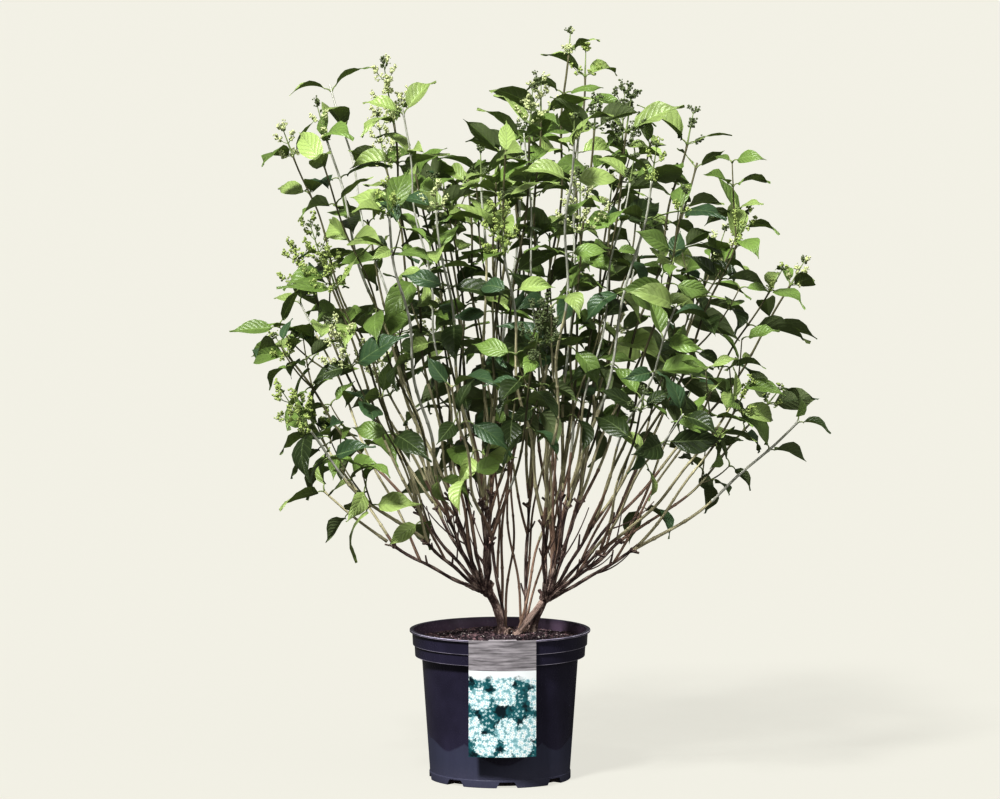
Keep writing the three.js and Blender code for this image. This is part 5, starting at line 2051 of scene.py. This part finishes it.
def paint(name, thing, default):
    kind = {"subtype": "COLOR", "size": 3, "min": 0, "max": 1}
    return FloatVectorProperty(name=name, description=f"Colour of {thing}", default=default, **kind)


class PotSettings(bpy.types.PropertyGroup):
    rounding: metres("Edge rounding", "How round the pot's moulded edges are", 0.0008)
    plastic: paint("Plastic", "the pot", (0.041, 0.036, 0.070))
    # Colour of the painted reflection of the floor on the pot's foot.
    haze: paint("Haze", "the splashed lower part", (0.085, 0.094, 0.15))
    # Colour of the painted light on the pot's inner wall.
    inside: paint("Inside", "the pot's dry inner wall", (0.17, 0.12, 0.175))
    dust: paint("Dust", "the dust on the pot", (0.13, 0.12, 0.17))
    # Colour of the painted highlight along the pot's edges.
    painted_highlight: paint("Rubbed edge", "the pot's rubbed edges", (0.82, 0.76, 0.92))


class SoilSettings(bpy.types.PropertyGroup):
    crumb_share: amount("Crumbs", "How many crumbs and chips lie on the soil", 1.0, 0, 3)
    mix_dark: paint("Damp mix", "the darkest potting mix", (0.055, 0.039, 0.047))
    mix_light: paint("Dry mix", "the lightest potting mix", (0.175, 0.122, 0.137))
    chips: paint("Bark chips", "the bark chips in the mix", (0.26, 0.17, 0.18))
    flecks: paint("Flecks", "the pale grit in the mix", (0.80, 0.70, 0.66))


class LabelSettings(bpy.types.PropertyGroup):
    bow: metres("Bow", "How far the card's foot stands off the pot", 0.0)
    band_share: amount("Band share", "Share of the card's height under the weathered band", 0.26, 0, 1)
    band: paint("Band", "the weathered band", (0.44, 0.41, 0.43))
    print_deep: paint("Print shade", "the shade between the printed flowers", (0.004, 0.018, 0.026))
    print_mid: paint("Print leaves", "the printed leaves", (0.018, 0.16, 0.18))
    print_pale: paint("Print sky", "the print's pale upper part", (0.96, 1.0, 1.0))
    petal: paint("Petal", "the printed petals", (0.97, 1.0, 1.0))
    petal_shade: paint("Petal shade", "the printed petals' edges", (0.42, 0.72, 0.76))
    heart: paint("Flower heart", "the printed flowers' hearts", (0.45, 0.62, 0.42))


class BarkSettings(bpy.types.PropertyGroup):
    fineness: metres("Fineness", "Size of the smallest bark facet", 0.0008)
    relief: metres("Relief", "Depth of the bark's furrows on the stems", 0.0011)
    kink: metres("Kink", "How far a bough wavers from its smooth bend", 0.0016)
    old_bark: paint("Old bark", "the stems and boughs", (0.15, 0.096, 0.087))
    cross_bark: paint("Cross stem bark", "the thin stem in front", (0.44, 0.32, 0.27))
    # The ridges' colour: partly worn bark, partly a painted highlight.
    ridge: paint("Bark ridge", "the worn ridges", (0.60, 0.47, 0.40))


class CaneSettings(bpy.types.PropertyGroup):
    shoot_share: amount("Shoots", "How many side shoots a cane has against the usual", 1.0, 0, 4)
    sway: metres("Sway", "How far a cane sways from its smooth bend", 0.005)
    thickness: amount("Thickness", "Thickness of the canes against the plan's", 0.76, 0.2, 2)
    node_swell: amount("Node swelling", "How much a cane swells at each leaf pair", 0.28, 0, 1)
    woody_to: metres("Woody up to", "How far from the soil a cane is brown", 0.22)
    green_from: metres("Green from", "How far from the soil a cane is green", 0.38)
    woody: paint("Woody cane", "a cane's foot", (0.41, 0.28, 0.21))
    ripening: paint("Ripening cane", "a cane between its foot and its green", (0.76, 0.65, 0.42))
    # The pale tone of the lit canes in front: partly young green bark, partly painted light.
    green: paint("Green cane", "a pale cane's upper part", (0.92, 0.93, 0.64))
    shaded: paint("Shaded cane", "most canes' upper part", (0.17, 0.16, 0.085))


class LeafSettings(bpy.types.PropertyGroup):
    length: metres("Length", "Length of a full-grown leaf with its stalk", 0.077)
    width: metres("Width", "Width of a full-grown leaf", 0.033)
    pair_spacing: metres("Pair spacing", "Distance between a cane's leaf pairs", 0.056)
    roughness: amount("Roughness", "Roughness of a leaf's face", 0.35, 0, 1)
    # The sunlit tone: partly the leaves' own paler green, partly painted light on the outermost leaves.
    fresh: paint("Fresh", "the youngest leaves", (0.43, 0.555, 0.195))
    mid: paint("Full-grown", "most leaves", (0.235, 0.35, 0.095))
    cool: paint("Cool", "the bluish leaves", (0.075, 0.14, 0.068))
    # The deepest tone: painted shade on the leaves inside the crown.
    deep: paint("Deep", "the oldest leaves", (0.038, 0.06, 0.02))
    under: paint("Underside", "every leaf's underside", (0.19, 0.24, 0.11))
    glow: paint("Glow", "the light that comes through a leaf", (0.34, 0.50, 0.06))
    rib: paint("Rib", "a leaf's rib", (0.32, 0.42, 0.16))
    stalk: paint("Stalk", "a leaf's stalk", (0.30, 0.38, 0.14))


class PanicleSettings(bpy.types.PropertyGroup):
    width: metres("Width", "Width of a panicle at its foot", 0.1)
    bud: metres("Bud radius", "Radius of a flower bud", 0.0016)
    branch_pairs: IntProperty(
        name="Branch pairs", description="Side branch pairs of a panicle", default=5, min=2, max=14
    )
    cream: paint("Cream buds", "the palest buds", (0.72, 0.77, 0.43))
    lime: paint("Lime buds", "the green buds", (0.48, 0.58, 0.20))
    dim: paint("Dim buds", "the closed dark buds", (0.16, 0.20, 0.09))
    stalk: paint("Stalks", "the panicles' stalks", (0.34, 0.42, 0.18))


class StageSettings(bpy.types.PropertyGroup):
    floor: paint("Floor", "the studio floor", (0.874, 0.862, 0.790))
    floor_share: amount("Floor size", "Size of the floor against its usual 60 metres", 1.0, 0.1, 3)
    floor_glow: amount("Floor glow", "Share of the floor's light that it glows with itself", 0.88, 0, 1)
    sky: paint("Sky", "the light from all round", (0.98, 0.97, 0.94))
    sky_strength: amount("Sky strength", "Strength of the light from all round", 0.2)
    sun_strength: amount("Key strength", "Strength of the key light", 4.35)
    sun_softness: degrees_turned("Key softness", "How wide the key light is", 9)
    sun_height: degrees_turned("Key height", "How high the key light stands", 48)
    sun_side: degrees_turned("Key side", "How far to the right of the front the key light stands", -27)
    fill_strength: amount("Fill strength", "Strength of the soft light from the right", 0.7)
    contrast: amount("Contrast", "Gamma of the picture, deeper in the shade the lower it is", 0.8, 0.3, 2)
    lens: amount("Lens", "Focal length of the camera in millimetres", 210.0, 10, 1000)
    distance: metres("Distance", "How far the camera stands from its target", 9.0, 0.1, 100)
    aim_height: metres("Aim height", "Height of the camera's target", 0.5888)
    camera_height: degrees_turned("Camera height", "How far the camera looks down", 5.6)


# Operators


class HYDRANGEA_OT_pot(bpy.types.Operator):
    """Make the stepped pot with its lip and drain notches"""

    bl_idname = "hydrangea.pot"
    bl_label = "Pot"

    def execute(self, context):
        make_pot(context.scene.hydrangea_pot)
        return {"FINISHED"}


class HYDRANGEA_OT_soil(bpy.types.Operator):
    """Make the potting mix with its crumbs, chips and flecks"""

    bl_idname = "hydrangea.soil"
    bl_label = "Soil"

    def execute(self, context):
        make_soil(context.scene.hydrangea_soil)
        return {"FINISHED"}


class HYDRANGEA_OT_label(bpy.types.Operator):
    """Make the printed card that hangs on the pot's lip"""

    bl_idname = "hydrangea.label"
    bl_label = "Label"

    def execute(self, context):
        make_label(context.scene.hydrangea_label)
        return {"FINISHED"}


class HYDRANGEA_OT_stems(bpy.types.Operator):
    """Grow the stems and their pruned heads, with carved bark"""

    bl_idname = "hydrangea.stems"
    bl_label = "Stems"

    def execute(self, context):
        make_stems(context.scene.hydrangea_bark, plant(context))
        return {"FINISHED"}


class HYDRANGEA_OT_boughs(bpy.types.Operator):
    """Grow the boughs up to their knuckles, with snags and dead twigs"""

    bl_idname = "hydrangea.boughs"
    bl_label = "Boughs"

    def execute(self, context):
        make_boughs(context.scene.hydrangea_bark, plant(context))
        return {"FINISHED"}


class HYDRANGEA_OT_canes(bpy.types.Operator):
    """Grow the canes and their side shoots"""

    bl_idname = "hydrangea.canes"
    bl_label = "Canes"

    def execute(self, context):
        make_canes(context.scene.hydrangea_canes, plant(context))
        return {"FINISHED"}


class HYDRANGEA_OT_leaves(bpy.types.Operator):
    """Grow the leaves and their stalks"""

    bl_idname = "hydrangea.leaves"
    bl_label = "Leaves"

    def execute(self, context):
        make_leaves(context.scene.hydrangea_leaves, plant(context))
        return {"FINISHED"}


class HYDRANGEA_OT_panicles(bpy.types.Operator):
    """Grow the panicles at the canes' tips"""

    bl_idname = "hydrangea.panicles"
    bl_label = "Panicles"

    def execute(self, context):
        make_panicles(context.scene.hydrangea_panicles, plant(context))
        return {"FINISHED"}


class HYDRANGEA_OT_stage(bpy.types.Operator):
    """Set up the floor, the lights and the camera"""

    bl_idname = "hydrangea.stage"
    bl_label = "Stage"

    def execute(self, context):
        make_stage(context.scene.hydrangea_stage)
        return {"FINISHED"}


class HYDRANGEA_PT_sidebar(bpy.types.Panel):
    """Every piece's maker, with its sizes and colours"""

    bl_idname = "HYDRANGEA_PT_sidebar"
    bl_label = "Potted Hydrangea"
    bl_space_type = "VIEW_3D"
    bl_region_type = "UI"
    bl_category = "Hydrangea"

    def draw(self, context):
        for operator, settings in MAKERS:
            box = self.layout.box()
            box.operator(operator.bl_idname)
            own = getattr(context.scene, settings)
            for name in own.bl_rna.properties.keys():
                if name not in ("rna_type", "name"):
                    box.prop(own, name)


SETTINGS = {
    "hydrangea_pot": PotSettings,
    "hydrangea_soil": SoilSettings,
    "hydrangea_label": LabelSettings,
    "hydrangea_bark": BarkSettings,
    "hydrangea_canes": CaneSettings,
    "hydrangea_leaves": LeafSettings,
    "hydrangea_panicles": PanicleSettings,
    "hydrangea_stage": StageSettings,
}
MAKERS = (
    (HYDRANGEA_OT_pot, "hydrangea_pot"),
    (HYDRANGEA_OT_soil, "hydrangea_soil"),
    (HYDRANGEA_OT_label, "hydrangea_label"),
    (HYDRANGEA_OT_stems, "hydrangea_bark"),
    (HYDRANGEA_OT_boughs, "hydrangea_bark"),
    (HYDRANGEA_OT_canes, "hydrangea_canes"),
    (HYDRANGEA_OT_leaves, "hydrangea_leaves"),
    (HYDRANGEA_OT_panicles, "hydrangea_panicles"),
    (HYDRANGEA_OT_stage, "hydrangea_stage"),
)
CLASSES = (*SETTINGS.values(), *(operator for operator, _ in MAKERS), HYDRANGEA_PT_sidebar)


def register():
    for each in CLASSES:
        bpy.utils.register_class(each)
    for name, settings in SETTINGS.items():
        setattr(bpy.types.Scene, name, PointerProperty(type=settings))


def unregister():
    for name in SETTINGS:
        delattr(bpy.types.Scene, name)
    for each in reversed(CLASSES):
        bpy.utils.unregister_class(each)


def main():
    register()
    for operator, _ in MAKERS:
        area, name = operator.bl_idname.split(".")
        getattr(getattr(bpy.ops, area), name)()


if __name__ == "__main__":
    main()
